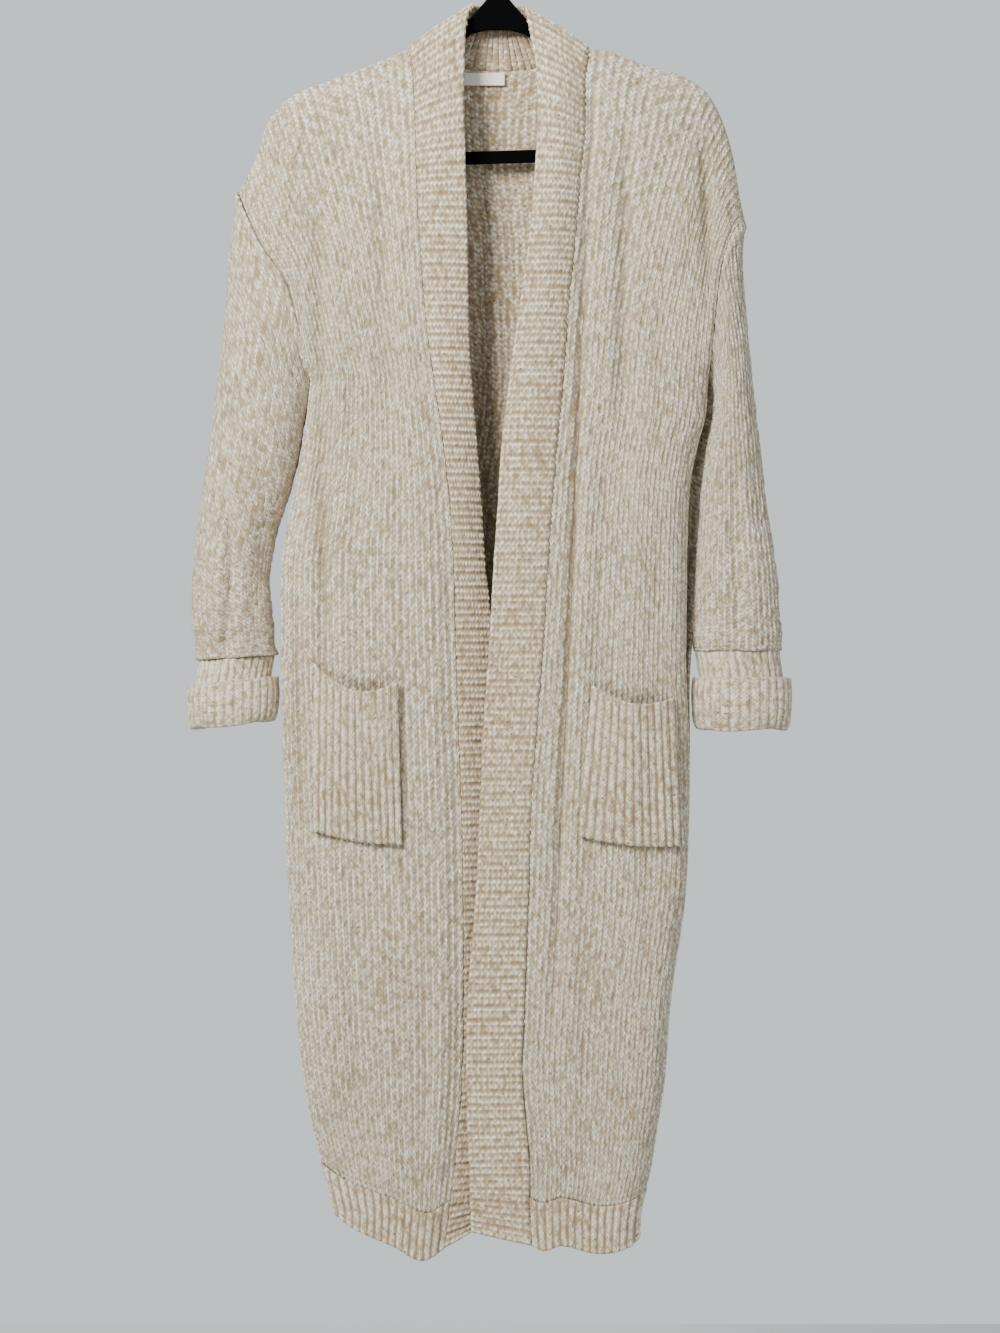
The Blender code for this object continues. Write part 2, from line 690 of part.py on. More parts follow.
def make_cuff(side, sleeve_end):
    """A turned-back cuff: rib that runs on from the sleeve, folds at the bottom and comes back up."""
    cuff = CUFF[side]
    end_centre = sum(sleeve_end, Vector()) / len(sleeve_end)
    end_x = [place.x for place in sleeve_end]
    end_half = (max(end_x) - min(end_x)) / 2.0
    end_depth = max(abs(place.y - end_centre.y) for place in sleeve_end)
    end_slope = (sleeve_end[0].z - sleeve_end[len(ARM_ANGLES) - 1].z) / (sleeve_end[0].x
                                                                     - sleeve_end[len(ARM_ANGLES) - 1].x)
    rings = []
    for out, way, ribbed in zip(*CUFF_CUT.values()):
        start_share = min(way, 1.0)
        if way <= 1.0:
            drop = mix(-end_centre.z + SEAM_GAP, cuff["top"], way)
        else:
            drop = mix(cuff["top"], cuff["foot"], way - 1.0)
        slope = mix(end_slope, -cuff["slope"], start_share)
        centre_x = mix((max(end_x) + min(end_x)) / 2.0, cuff["x"], start_share)
        half_width = mix(end_half + 8.3, cuff["half_width"], start_share) + out
        half_depth = mix(end_depth + 8.3, CUFF_HALF_DEPTH, start_share) + out
        ring = []
        for k in range(2 * CUFF_RIBS):
            turn = math.pi * k / CUFF_RIBS
            relief = -RIB_RELIEF if ribbed and k % 2 else 0.0
            x = (half_width + relief) * math.cos(turn)
            y = (half_depth + relief) * math.sin(turn)
            ring.append(Vector((centre_x + x, y, -drop + slope * x)))
        rings.append(ring)
    mesh = bmesh.new()
    verts = [[mesh.verts.new(place * MM) for place in ring] for ring in rings]
    grid_faces(mesh, verts + [verts[0]], closed=True)
    bmesh.ops.recalc_face_normals(mesh, faces=mesh.faces)
    finish("cuff_" + side, mesh, CREAM, roughness=0.95)


def band_seam_line(panels):
    """The seam that the band is sewn to, with the direction out of the cloth at each point."""
    line = []
    for side in ("right", "left"):
        grid, normals, _ = panels["front_" + side]
        edge = [(row[0], normal[0]) for row, normal in zip(grid, normals)]
        edge.append((panels["foot_" + side][0], normals[-1][0]))
        line.append([(place, normal, side, -place.z) for place, normal in edge])
    grid, normals, _ = panels["back"]
    neck = []
    for j in range(6, len(BACK_COLUMNS) - 6):
        share = (j - 6) / (len(BACK_COLUMNS) - 13)
        neck.append((grid[0][j], normals[0][j], "neck", share))
    return list(reversed(line[0])), neck, line[1]


def band_station(place, normal, stretch, at):
    """The band's seam edge, its rolled middle and its free edge at one place along it."""
    if stretch == "neck":
        rows = BAND_EDGE_NECK
        key = "share"
    else:
        rows = BAND_EDGE[stretch]
        key = "seam_drop"
    free = point(smooth(rows, key, "x", at), smooth(rows, key, "depth", at), smooth(rows, key, "drop", at))
    across = (free - place).normalized()
    at_neck = stretch == "neck" or at < NECK_REACH
    seam = place + across * (NECK_GAP if at_neck else SEAM_GAP * 1.3)
    return seam, free, normal, smooth(rows, key, "roll", at)


def make_band(panels):
    """The long rib band: a raised row across it every rib, over a plain inside."""
    stations = []
    for stretch in band_seam_line(panels):
        for (a, a_normal, name, a_at), (b, b_normal, _, b_at) in zip(stretch, stretch[1:]):
            steps = max(round((b - a).length / (BAND_RIB_PITCH / 2.0)), 1)
            for k in range(steps):
                share = k / steps
                normal = a_normal.lerp(b_normal, share).normalized()
                stations.append(band_station(a.lerp(b, share), normal, name, mix(a_at, b_at, share)))
    place, normal, name, at = stretch[-1]
    stations.append(band_station(place, normal, name, at))
    if len(stations) % 2 == 0:
        del stations[-2]
    centre = []
    for seam, free, _, _ in stations:
        centre.append([seam, seam.lerp(free, 0.5), free])
    normals = grid_normals(centre, Vector((0.0, 1.0, 0.0)))
    for line, (_, _, normal, roll), row in zip(normals, stations, centre):
        row[1] = row[1] + line[1] * roll
        line[0] = normal
    outer = []
    for k, (row, line) in enumerate(zip(centre, normals)):
        relief = RIB_RELIEF if k % 2 else 0.0
        outer.append([place + normal * relief for place, normal in zip(row, line)])
    inner = offset_grid(centre[::2], normals[::2], -RIB_WALL)
    cloth_solid("band", outer, inner, CREAM)


def on_panel(grid, x, drop):
    """The point of a panel's face that the front view shows at a place."""
    for upper, lower in zip(grid, grid[1:]):
        for j in range(len(upper) - 1):
            a, b, c, d = upper[j], upper[j + 1], lower[j], lower[j + 1]
            if not min(a.x, b.x, c.x, d.x) <= x <= max(a.x, b.x, c.x, d.x):
                continue
            if not min(c.z, d.z) <= -drop <= max(a.z, b.z):
                continue
            down = 0.5
            across = 0.5
            for _ in range(12):
                left = a.lerp(c, down)
                right = b.lerp(d, down)
                across = (x - left.x) / (right.x - left.x)
                upper_z = mix(a.z, b.z, across)
                lower_z = mix(c.z, d.z, across)
                down = (-drop - upper_z) / (lower_z - upper_z)
            if -1e-6 <= down <= 1.0 + 1e-6 and -1e-6 <= across <= 1.0 + 1e-6:
                return a.lerp(c, down).lerp(b.lerp(d, down), across)
    raise ValueError("no cloth at %.1f, %.1f" % (x, drop))


def make_pocket(side, panels):
    """A patch pocket in rib, sewn on round its sides and foot, with a mouth that sags open."""
    pocket = POCKET[side]
    face = panels["front_" + side][0]
    rows_down = 7
    outer = []
    inner = []
    for row in range(rows_down + 1):
        down = row / rows_down
        lines = ([], [])
        for k in range(2 * POCKET_RIBS + 1):
            across = k / (2 * POCKET_RIBS)
            bow = math.sin(math.pi * across)
            top = mix(*pocket["top_drops"], across) + pocket["sag"] * bow
            foot = mix(*pocket["foot_drops"], across) + 4.0 * bow
            x = mix(mix(*pocket["top"], across), mix(*pocket["foot"], across), down)
            base = on_panel(face, x, mix(top, foot, down))
            lift = POCKET_LIFT + pocket["open"] * bow ** 0.6 * (1.0 - down ** 2.2)
            relief = RIB_RELIEF if k % 2 else 0.0
            lines[0].append(base + Vector((0.0, -(lift + RIB_WALL + relief), 0.0)))
            lines[1].append(base + Vector((0.0, -lift, 0.0)))
        outer.append(lines[0])
        inner.append(lines[1])
    cloth_solid("pocket_" + side, outer, inner, CREAM)


def make_label(panels):
    """A bare woven label, sewn on inside the back just under the neck band."""
    inside = panels["back"][2]
    outer = []
    inner = []
    for down in (0.0, 0.5, 1.0):
        lines = ([], [])
        for k in range(9):
            x = LABEL_CENTRE + LABEL_WIDTH * (k / 8 - 0.5)
            base = on_panel(inside, x, NECK_SEAM_DROP + 2.5 + LABEL_HEIGHT * down)
            lines[0].append(base + Vector((0.0, -(POCKET_LIFT + LABEL_THICKNESS), 0.0)))
            lines[1].append(base + Vector((0.0, -POCKET_LIFT, 0.0)))
        outer.append(lines[0])
        inner.append(lines[1])
    cloth_solid("neck_label", outer, inner, LABEL_WHITE)


def shoulder_drop(side, x):
    """The drop of a shoulder's ridge over a place on the hanger's arm."""
    rows = SHOULDER[side]
    return smooth(rows, "x", "drop", x)


def hanger_half(side):
    """One half of the hanger's outline, as top and foot lines from the middle to the arm's end."""
    sign = -1.0 if side == "right" else 1.0
    top = [(sign * x, drop) for x, drop in zip(HANGER_MIDDLE["x"], HANGER_MIDDLE["top"])]
    foot = [(sign * x, drop) for x, drop in zip(HANGER_MIDDLE["x"], HANGER_MIDDLE["foot"])]
    steps = 8
    for k in range(1, steps + 1):
        reach = mix(HANGER_MIDDLE["x"][-1], HANGER_ARM_END, k / steps)
        ridge = shoulder_drop(side, sign * reach) + HANGER_CLEARANCE
        height = mix(*HANGER_ARM_HEIGHT, k / steps)
        top.append((sign * reach, ridge))
        foot.append((sign * reach * 0.985, ridge + height))
    return top, foot


def make_hanger():
    """A thin flocked hanger: shaped arms, two uprights near their ends and a trouser bar, in one piece."""
    outline = []
    hole = []
    for side in ("left", "right"):
        sign = -1.0 if side == "right" else 1.0
        top, foot = hanger_half(side)
        reach_in, reach_out = UPRIGHT_REACH
        arm_foot = {"x": [x for x, _ in foot], "drop": [drop for _, drop in foot]}
        meet_in = smooth(arm_foot, "x", "drop", sign * reach_in) + 1.0
        bar = BAR_DROP + BAR_SLOPE * sign * reach_in
        under = [(x, drop) for x, drop in foot if abs(x) < reach_in - 4.0]
        beyond = [(x, drop) for x, drop in foot if abs(x) > reach_out + 1.0]
        half = top + list(reversed(beyond))
        half += [(sign * (reach_out - 2.0), smooth(arm_foot, "x", "drop", sign * (reach_out - 2.0)) + 3.0)]
        half += [(sign * (reach_out - 4.0), bar - 2.0), (sign * (reach_out - 8.0), bar + 4.5)]
        half += [(sign * (reach_out - 15.0), bar + BAR_HEIGHT / 2.0)]
        inside = under + [(sign * reach_in, meet_in), (sign * (reach_in - 2.0), bar - BAR_HEIGHT / 2.0 - 6.0),
                          (sign * (reach_in - 9.0), bar - BAR_HEIGHT / 2.0)]
        if side == "right":
            outline += list(reversed(half))[:-1]
            hole += list(reversed(inside))[:-1]
        else:
            outline += half
            hole += inside
    curve = bpy.data.curves.new("hanger_outline", "CURVE")
    curve.dimensions = "2D"
    curve.fill_mode = "BOTH"
    curve.extrude = (HANGER_THICKNESS / 2.0 - HANGER_ROUNDING) * MM
    curve.bevel_depth = HANGER_ROUNDING * MM
    curve.bevel_resolution = 1
    curve.offset = -HANGER_ROUNDING * MM
    for points in (outline, hole):
        spline = curve.splines.new("POLY")
        spline.points.add(len(points) - 1)
        for knot, (x, drop) in zip(spline.points, points):
            knot.co = (x * MM, -drop * MM, 0.0, 1.0)
        spline.use_cyclic_u = True
    drawn = bpy.data.objects.new("hanger_outline", curve)
    drawn.rotation_euler = (math.radians(90), 0.0, 0.0)
    mesh = curve_mesh(drawn)
    finish("hanger_body", mesh, FLOCK_BLACK, roughness=1.0)


def curve_mesh(drawn):
    """A curve's own mesh in place, with its caps welded on, and the curve removed."""
    bpy.data.collections[COLLECTION].objects.link(drawn)
    bpy.context.view_layer.update()
    evaluated = drawn.evaluated_get(bpy.context.evaluated_depsgraph_get())
    data = bpy.data.meshes.new_from_object(evaluated)
    mesh = bmesh.new()
    mesh.from_mesh(data)
    mesh.transform(drawn.matrix_world)
    bmesh.ops.remove_doubles(mesh, verts=mesh.verts, dist=0.00001)
    bmesh.ops.recalc_face_normals(mesh, faces=mesh.faces)
    bpy.data.objects.remove(drawn)
    bpy.data.meshes.remove(data)
    return mesh


def make_hook():
    """The wire hook: a stem out of the hanger and a round bend whose inside is the origin."""
    centre_drop = HOOK_BEND_RADIUS - HOOK_WIRE_RADIUS
    stem_foot = HANGER_MIDDLE["top"][0] - SEAM_GAP
    points = [(0.0, stem_foot), (0.0, stem_foot - 8.0), (1.5, stem_foot - 14.0)]
    for angle in range(-58, 206, 12):
        turn = math.radians(angle)
        points.append((HOOK_BEND_RADIUS * math.cos(turn), centre_drop - HOOK_BEND_RADIUS * math.sin(turn)))
    curve = bpy.data.curves.new("hook_wire", "CURVE")
    curve.dimensions = "3D"
    curve.bevel_depth = HOOK_WIRE_RADIUS * MM
    curve.bevel_resolution = 2
    curve.use_fill_caps = True
    spline = curve.splines.new("POLY")
    spline.points.add(len(points) - 1)
    for knot, (x, drop) in zip(spline.points, points):
        knot.co = (x * MM, 0.0, -drop * MM, 1.0)
    mesh = curve_mesh(bpy.data.objects.new("hook_wire", curve))
    finish("hanger_hook", mesh, STEEL, roughness=0.25, metallic=1.0)


def main():
    """Clear the scene, then make every piece of the cardigan and its hanger."""
    for old in list(bpy.data.objects):
        bpy.data.objects.remove(old)
    collection = bpy.data.collections.new(COLLECTION)
    bpy.context.scene.collection.children.link(collection)
    panels = {"back": make_back()}
    for side in ("right", "left"):
        panels["front_" + side] = make_front(side)
    make_hems(panels)
    make_band(panels)
    for side in ("right", "left"):
        make_cuff(side, make_sleeve(side))
        make_pocket(side, panels)
    make_label(panels)
    make_hanger()
    make_hook()


main()
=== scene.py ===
# %% [markdown]
# # A chunky knitted duster cardigan on a hanger
# The solids give this cardigan its true form and its places. This script gives it its looks: knitted
# panels with their wales and slubs, ribs that turn round the neck, rolled cuffs, sagging pockets and
# the velvet of the hanger. Every cloth piece is a fine grid, laid on the same surface as its solid.

import math

import bmesh
import bpy
import numpy as np
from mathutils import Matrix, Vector


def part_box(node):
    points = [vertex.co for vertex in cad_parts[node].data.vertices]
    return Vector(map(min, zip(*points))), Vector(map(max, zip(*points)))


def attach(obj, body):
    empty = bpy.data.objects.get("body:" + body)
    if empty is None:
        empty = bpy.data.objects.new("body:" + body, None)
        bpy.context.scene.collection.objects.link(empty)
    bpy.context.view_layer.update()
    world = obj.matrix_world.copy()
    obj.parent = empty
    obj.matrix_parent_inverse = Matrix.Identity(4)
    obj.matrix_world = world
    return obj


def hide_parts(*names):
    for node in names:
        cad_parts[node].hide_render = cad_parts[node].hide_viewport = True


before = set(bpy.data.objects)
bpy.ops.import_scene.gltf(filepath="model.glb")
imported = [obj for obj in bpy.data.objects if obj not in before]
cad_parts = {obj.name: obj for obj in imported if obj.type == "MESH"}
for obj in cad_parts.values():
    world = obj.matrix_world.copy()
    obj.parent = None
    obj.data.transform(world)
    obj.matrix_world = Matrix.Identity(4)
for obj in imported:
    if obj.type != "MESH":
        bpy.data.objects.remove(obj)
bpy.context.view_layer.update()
MM = 0.001
print("nodes:", sorted(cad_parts))


# %% Helpers: a new object, a new material, and nodes that several materials use
def put(name, data):
    thing = bpy.data.objects.new(name, data)
    bpy.context.scene.collection.objects.link(thing)
    return thing


def new_material(name):
    material = bpy.data.materials.new(name)
    material.use_nodes = True
    return material, material.node_tree, material.node_tree.nodes["Principled BSDF"]


def colour_mix(tree, first, second, factor, blend="MIX"):
    """Mixes two colours, each a plain value or a socket, by the socket of a factor."""
    node = tree.nodes.new("ShaderNodeMix")
    node.data_type = "RGBA"
    node.blend_type = blend
    for label, value in (("A", first), ("B", second)):
        if isinstance(value, tuple):
            node.inputs[label].default_value = value
        else:
            tree.links.new(value, node.inputs[label])
    tree.links.new(factor, node.inputs["Factor"])
    return node.outputs["Result"]


def object_noise(tree, scale):
    """Noise over the object's own coordinates."""
    place = tree.nodes.new("ShaderNodeTexCoord")
    noise = tree.nodes.new("ShaderNodeTexNoise")
    noise.inputs["Scale"].default_value = scale
    tree.links.new(place.outputs["Object"], noise.inputs["Vector"])
    return noise.outputs["Fac"]


# %% [markdown]
# ## Camera, light and floor
# The cardigan hangs flat and is seen straight on, so the lens is long and level. The light is a big
# soft window to the left, with a weak one to the right and one behind, so that ribs and folds still
# cast small shades.

# %% Camera at the photograph's view
PIXEL = 1.02 * MM
ORIGIN_ROW = -73
AXIS_OFFSET = 2
IMAGE_HEIGHT = 1333
SENSOR = 36
CLOTH_PLANE = -0.015
CAMERA_DISTANCE = 2.3

camera_data = bpy.data.cameras.new("camera")
camera = put("camera", camera_data)
camera.location = (AXIS_OFFSET * PIXEL, CLOTH_PLANE - CAMERA_DISTANCE,
                   -(IMAGE_HEIGHT / 2 - ORIGIN_ROW) * PIXEL)
camera.rotation_euler = (math.radians(90), 0, 0)
camera_data.sensor_fit = "VERTICAL"
camera_data.sensor_height = SENSOR
camera_data.lens = SENSOR * CAMERA_DISTANCE / (IMAGE_HEIGHT * PIXEL)
bpy.context.scene.camera = camera
print("lens", round(camera_data.lens, 1), "mm")


# %% Soft light and a pale floor
def soft_light(name, place, aim, size, watts, colour):
    data = bpy.data.lights.new(name, "AREA")
    data.size, data.energy, data.color = size, watts, colour
    lamp = put(name, data)
    lamp.location = place
    toward = [a - b for a, b in zip(aim, place)]
    yaw = math.atan2(toward[0], toward[1])
    pitch = math.atan2(toward[2], math.hypot(toward[0], toward[1]))
    lamp.rotation_euler = (math.radians(90) + pitch, 0, -yaw)


MIDDLE = (0, 0, -0.7)
LIGHT_OF_ROOM = 0.93
LIGHT_OF_WALL = 1.42
soft_light("window", (-1.2, -1.6, 0.5), MIDDLE, 0.8, 98, (1.0, 0.985, 0.96))
soft_light("fill", (2.2, -2.2, -0.2), MIDDLE, 2.4, 20, (0.97, 0.98, 1.0))
soft_light("behind", (0.6, 2.4, 0.8), MIDDLE, 2.0, 40, (1.0, 1.0, 1.0))

world = bpy.data.worlds.new("pale room")
world.use_nodes = True
backdrop = world.node_tree.nodes["Background"]
backdrop.inputs["Color"].default_value = (0.565, 0.61, 0.635, 1)
seen = world.node_tree.nodes.new("ShaderNodeLightPath")
strength = world.node_tree.nodes.new("ShaderNodeMapRange")
strength.inputs["To Min"].default_value = LIGHT_OF_ROOM
strength.inputs["To Max"].default_value = LIGHT_OF_WALL
world.node_tree.links.new(seen.outputs["Is Camera Ray"], strength.inputs["Value"])
world.node_tree.links.new(strength.outputs["Result"], backdrop.inputs["Strength"])
bpy.context.scene.world = world

FLOOR_DROP = 1.75
FLOOR_REACH = 1.1
floor_mesh = bmesh.new()
bmesh.ops.create_grid(floor_mesh, x_segments=1, y_segments=1, size=FLOOR_REACH)
bmesh.ops.translate(floor_mesh, verts=floor_mesh.verts, vec=(0, 0, -FLOOR_DROP))
floor_data = bpy.data.meshes.new("floor")
floor_mesh.to_mesh(floor_data)
floor = put("floor", floor_data)
floor_paint, _, floor_shader = new_material("pale floor")
floor_shader.inputs["Base Color"].default_value = (0.62, 0.63, 0.63, 1)
floor_shader.inputs["Roughness"].default_value = 0.8
floor_data.materials.append(floor_paint)

# %% [markdown]
# ## Reading the garment's tables
# A garment is drafted as a few measured lines: where the band is sewn, the side, the shoulder, the
# hem. Each line is a short table, and a smooth curve runs between its rows. The curves are read with
# arrays, because a knitted panel has tens of thousands of points.


# %% Tables and smooth curves
def table(columns, *rows):
    names = columns.split()
    return {name: np.array([row[k] for row in rows], float) for k, name in enumerate(names)}


def reader(rows, key, want):
    """A function that reads one column of a table between its rows, on a smooth curve.
    The key column rises."""
    places, values = rows[key], rows[want]
    slopes = np.empty_like(values)
    slopes[1:-1] = (values[2:] - values[:-2]) / (places[2:] - places[:-2])
    slopes[0] = (values[1] - values[0]) / (places[1] - places[0])
    slopes[-1] = (values[-1] - values[-2]) / (places[-1] - places[-2])

    def read(at):
        at = np.clip(at, places[0], places[-1])
        step = np.clip(np.searchsorted(places, at, side="right") - 1, 0, len(places) - 2)
        span = places[step + 1] - places[step]
        t = (at - places[step]) / span
        return ((2 * t**3 - 3 * t**2 + 1) * values[step] + (t**3 - 2 * t**2 + t) * slopes[step] * span
                + (3 * t**2 - 2 * t**3) * values[step + 1] + (t**3 - t**2) * slopes[step + 1] * span)

    return read


def along(line, share):
    """Points at shares of a line's length; the line is an array of points."""
    run = np.concatenate([[0], np.cumsum(np.linalg.norm(np.diff(line, axis=0), axis=1))])
    places = share * run[-1]
    return np.stack([np.interp(places, run, line[:, k]) for k in range(line.shape[1])], axis=-1)


def bell(value, middle, width):
    """1 at the middle and fading to 0 on both sides of it."""
    return np.exp(-(((value - middle) / width) ** 2))


def blend(pair, share):
    """From the pair's first value at share 0 to its second at share 1."""
    return pair[0] * (1 - share) + pair[1] * share


# %% The cardigan's lines, in millimetres
SIDES = ("right", "left")
OUT = {"right": -1.0, "left": 1.0}
BAND_SEAM = {
    "right": table(
        "drop x",
        (121, -92), (136, -88), (200, -84), (292, -81), (380, -75), (428, -70), (462, -65), (524, -56),
        (586, -49), (650, -45), (732, -43), (845, -39), (933, -36), (1112, -35), (1182, -37),
        (1243, -42), (1305, -49), (1345, -54)),
    "left": table(
        "drop x",
        (121, 93), (155, 89), (213, 88), (262, 83), (321, 78), (390, 71), (462, 66), (524, 60),
        (586, 55), (660, 50), (756, 44), (845, 37), (911, 33), (977, 31), (1112, 26), (1165, 24),
        (1253, 31), (1305, 32), (1340, 34)),
}
SIDE_EDGE = {
    "right": table(
        "drop x",
        (461, -193), (501, -197), (536, -202), (582, -211), (646, -222), (727, -223), (806, -222),
        (899, -219), (972, -216), (1112, -207), (1182, -199), (1217, -193), (1270, -179), (1309, -169)),
    "left": table(
        "drop x",
        (457, 216), (498, 213), (528, 205), (566, 198), (615, 195), (673, 194), (760, 193), (831, 196),
        (919, 196), (993, 192), (1094, 178), (1182, 171), (1226, 164), (1270, 157), (1305, 148),
        (1335, 145)),
}
SHOULDER = {
    "right": table(
        "x drop",
        (-92, 121), (-112, 129), (-135, 139), (-159, 147), (-180, 156), (-199, 162), (-220, 175),
        (-236, 196), (-247, 228), (-261, 259), (-266, 270)),
    "left": table(
        "x drop",
        (93, 121), (112, 122), (126, 127), (141, 133), (161, 140), (181, 145), (196, 152), (213, 164),
        (225, 183), (234, 205), (242, 235), (248, 273), (253, 296)),
}
ARMHOLE = {
    "right": table("x drop", (-266, 270), (-243, 325), (-217, 366), (-205, 410), (-193, 461)),
    "left": table("x drop", (253, 296), (240, 312), (228, 345), (221, 400), (216, 457)),
}
HEM_LINE = {
    "right": table("share drop", (0, 1345), (0.2, 1355), (0.45, 1341), (0.75, 1326), (1, 1309)),
    "left": table(
        "share drop",
        (0, 1340), (0.12, 1345), (0.27, 1340), (0.6, 1348), (0.85, 1344), (1, 1335)),
}
POCKET = {
    "right": {"top": (-186, -101), "foot": (-187, -97), "top_drops": (751, 770),
              "foot_drops": (920, 934), "sag": 18, "open": 10.0},
    "left": {"top": (95, 178), "foot": (82, 188), "top_drops": (773, 786),
             "foot_drops": (926, 936), "sag": 12, "open": 10.0},
}
HEM_HEIGHT = 48.0
FRONT_FULLNESS = 34.0
BACK_FULLNESS = 26.0
SHOULDER_ROUNDING = 120.0
HANGER_ROOM = 3.0
ARMHOLE_HALF_DEPTH = 24.0
NECK_SEAM_DROP = 140.0
NECK_SEAM_DEPTH = 14.0
NECK_SHARES = (0.33, 0.67)
BACK_TOP_DROP = 100.0
BACK_BULGE = 16.0
BAND_RECESS = 11.0
SEAM_ROLL = 2.4
SEAM_LAP = 1.2
POCKET_DENT = 7.5
PLAIN_WALL = 3.0
RIB_WALL = 3.4
LABEL_WALL = 0.6

FOLD_COLUMNS = "x_top drop_top x_foot drop_foot sink half_width"
FOLDS = {
    "front_right": (
        (-182, 290, -173, 800, 8, 9), (-206, 640, -196, 960, 7, 7), (-120, 200, -110, 520, 4, 10),
        (-70, 900, -75, 1300, 3, 10), (-150, 430, -140, 760, 1.5, 6), (-100, 560, -96, 900, 1.5, 6),
        (-150, 940, -142, 1240, 2, 8)),
    "front_left": (
        (99, 130, 54, 1150, 9, 6), (132, 190, 126, 520, 7, 8), (212, 215, 216, 400, 8, 8),
        (160, 600, 150, 1150, 3, 12), (168, 330, 160, 560, 2, 7), (108, 520, 96, 900, 1.5, 6),
        (92, 950, 88, 1280, 2, 8)),
    "back": (
        (-15, 150, -15, 1250, -3, 7), (-110, 350, -125, 1200, 5, 12), (105, 380, 118, 1250, 5, 12),
        (50, 700, 60, 1300, 3, 10), (-60, 500, -66, 1000, 2, 8)),
    "sleeve_right": (
        (-270, 600, -277, 762, 7, 6), (-238, 600, -252, 720, 3, 6)),
    "sleeve_left": (
        (240, 540, 246, 730, 4, 8), (262, 420, 268, 640, 2, 8)),
}
FOLDS = {name: table(FOLD_COLUMNS, *rows) for name, rows in FOLDS.items()}


# %% [markdown]
# ## The surfaces
# A hung garment is a flattened tube: it stands a little off the hanger's plane below the shoulder,
# and rounds over at its sides. These functions give the cloth's outer face for whole arrays of
# places at once, and folds are soft troughs drawn down it.


# %% Depth of the cloth and its folds
def shoulder_depth(fullness, below):
    below = np.maximum(below, 0.0)
    round_over = HANGER_ROOM * (1 - np.exp(-below / HANGER_ROOM))
    return round_over + fullness * (1 - np.exp(-np.sqrt(below / SHOULDER_ROUNDING)))


def side_rounding(share):
    t = np.clip((share - 0.72) / 0.28, 0, 1)
    return (1 - t**2.4) ** (1 / 2.4)


def fold_sink(name, x, drop):
    total = np.zeros_like(x)
    for x_top, drop_top, x_foot, drop_foot, sink, half_width in zip(*FOLDS[name].values()):
        way = np.clip((drop - drop_top) / (drop_foot - drop_top), 0, 1)
        across = (x - (x_top + (x_foot - x_top) * way)) / half_width
        total += sink * np.sin(np.pi * way) ** 0.6 * np.exp(-across * across)
    return total


def table_line(rows):
    """A drawn line through a table's rows, as many points on a smooth curve."""
    corners = np.stack([rows["x"], rows["drop"]], axis=1)
    at = np.concatenate([[0], np.cumsum(np.linalg.norm(np.diff(corners, axis=0), axis=1))])
    run = {"at": at, "x": rows["x"], "drop": rows["drop"]}
    steps = np.linspace(0, at[-1], 120)
    return np.stack([reader(run, "at", "x")(steps), reader(run, "at", "drop")(steps)], axis=1)


def arm_line(side, share):
    return along(table_line(ARMHOLE[side]), share)


# %% A front: from the shoulder to the hem rib
def front_face(side, columns, arm_rows, low_rows, hem_rows):
    """Points (x, depth, drop) of a front, and of its hem rib below it."""
    seam_x = reader(BAND_SEAM[side], "drop", "x")
    edge_x = reader(SIDE_EDGE[side], "drop", "x")
    hem_drop = reader(HEM_LINE[side], "share", "drop")
    ridge = along(table_line(SHOULDER[side]), columns)
    chord = ridge[0] + (ridge[-1] - ridge[0]) * columns[:, None]
    neck = BAND_SEAM[side]["drop"][0]
    under = SIDE_EDGE[side]["drop"][0]
    turn = np.linspace(0, np.pi, arm_rows)[:, None]
    share = (1 - np.cos(turn)) / 2
    inner_drop = neck + (under - neck) * share
    end = arm_line(side, share[:, 0])
    start = np.concatenate([seam_x(inner_drop), inner_drop], axis=1)
    u = columns[None, :]
    place = start[:, None, :] + (end - start)[:, None, :] * u[..., None]
    place = place + (ridge - chord)[None] * ((1 - share) ** 1.5)[..., None]
    inner_depth = shoulder_depth(FRONT_FULLNESS, inner_drop - neck)
    end_depth = ARMHOLE_HALF_DEPTH * np.sin(turn)
    upper = inner_depth + (end_depth - inner_depth) * u
    open_share = np.minimum(end_depth / np.maximum(inner_depth, 1e-3), 1)
    lower = inner_depth * (open_share + (1 - open_share) * side_rounding(u))
    ease = np.clip((share - 0.35) / 0.3, 0, 1)
    depth = upper * (1 - ease) + lower * ease
    sink = fold_sink("front_" + side, place[..., 0], place[..., 1])
    depth -= sink * np.minimum(share * 6, 1) * (1 - u**12)
    top = np.stack([place[..., 0], depth, place[..., 1]], axis=-1)

    foot = hem_drop(columns)[None, :]
    way = np.linspace(0, 1, low_rows + 1)[1:, None]
    low_drop = under + (foot - HEM_HEIGHT - under) * way
    hem_way = np.linspace(0, 1, hem_rows)[:, None]
    hem = front_low(side, u, foot - HEM_HEIGHT + HEM_HEIGHT * hem_way, seam_x, edge_x, neck)
    low = front_low(side, u, low_drop, seam_x, edge_x, neck)
    return np.concatenate([top, low]), hem


def front_low(side, u, drop, seam_x, edge_x, neck):
    x = seam_x(drop) + (edge_x(drop) - seam_x(drop)) * u
    depth = shoulder_depth(FRONT_FULLNESS, drop - neck) * side_rounding(u)
    if side == "right":
        depth = depth - BAND_RECESS * np.clip((drop - 480) / 240, 0, 1) * bell(u, 0, 0.1)
    depth = depth - fold_sink("front_" + side, x, drop) * side_rounding(u)
    return np.stack([x, depth, drop], axis=-1)


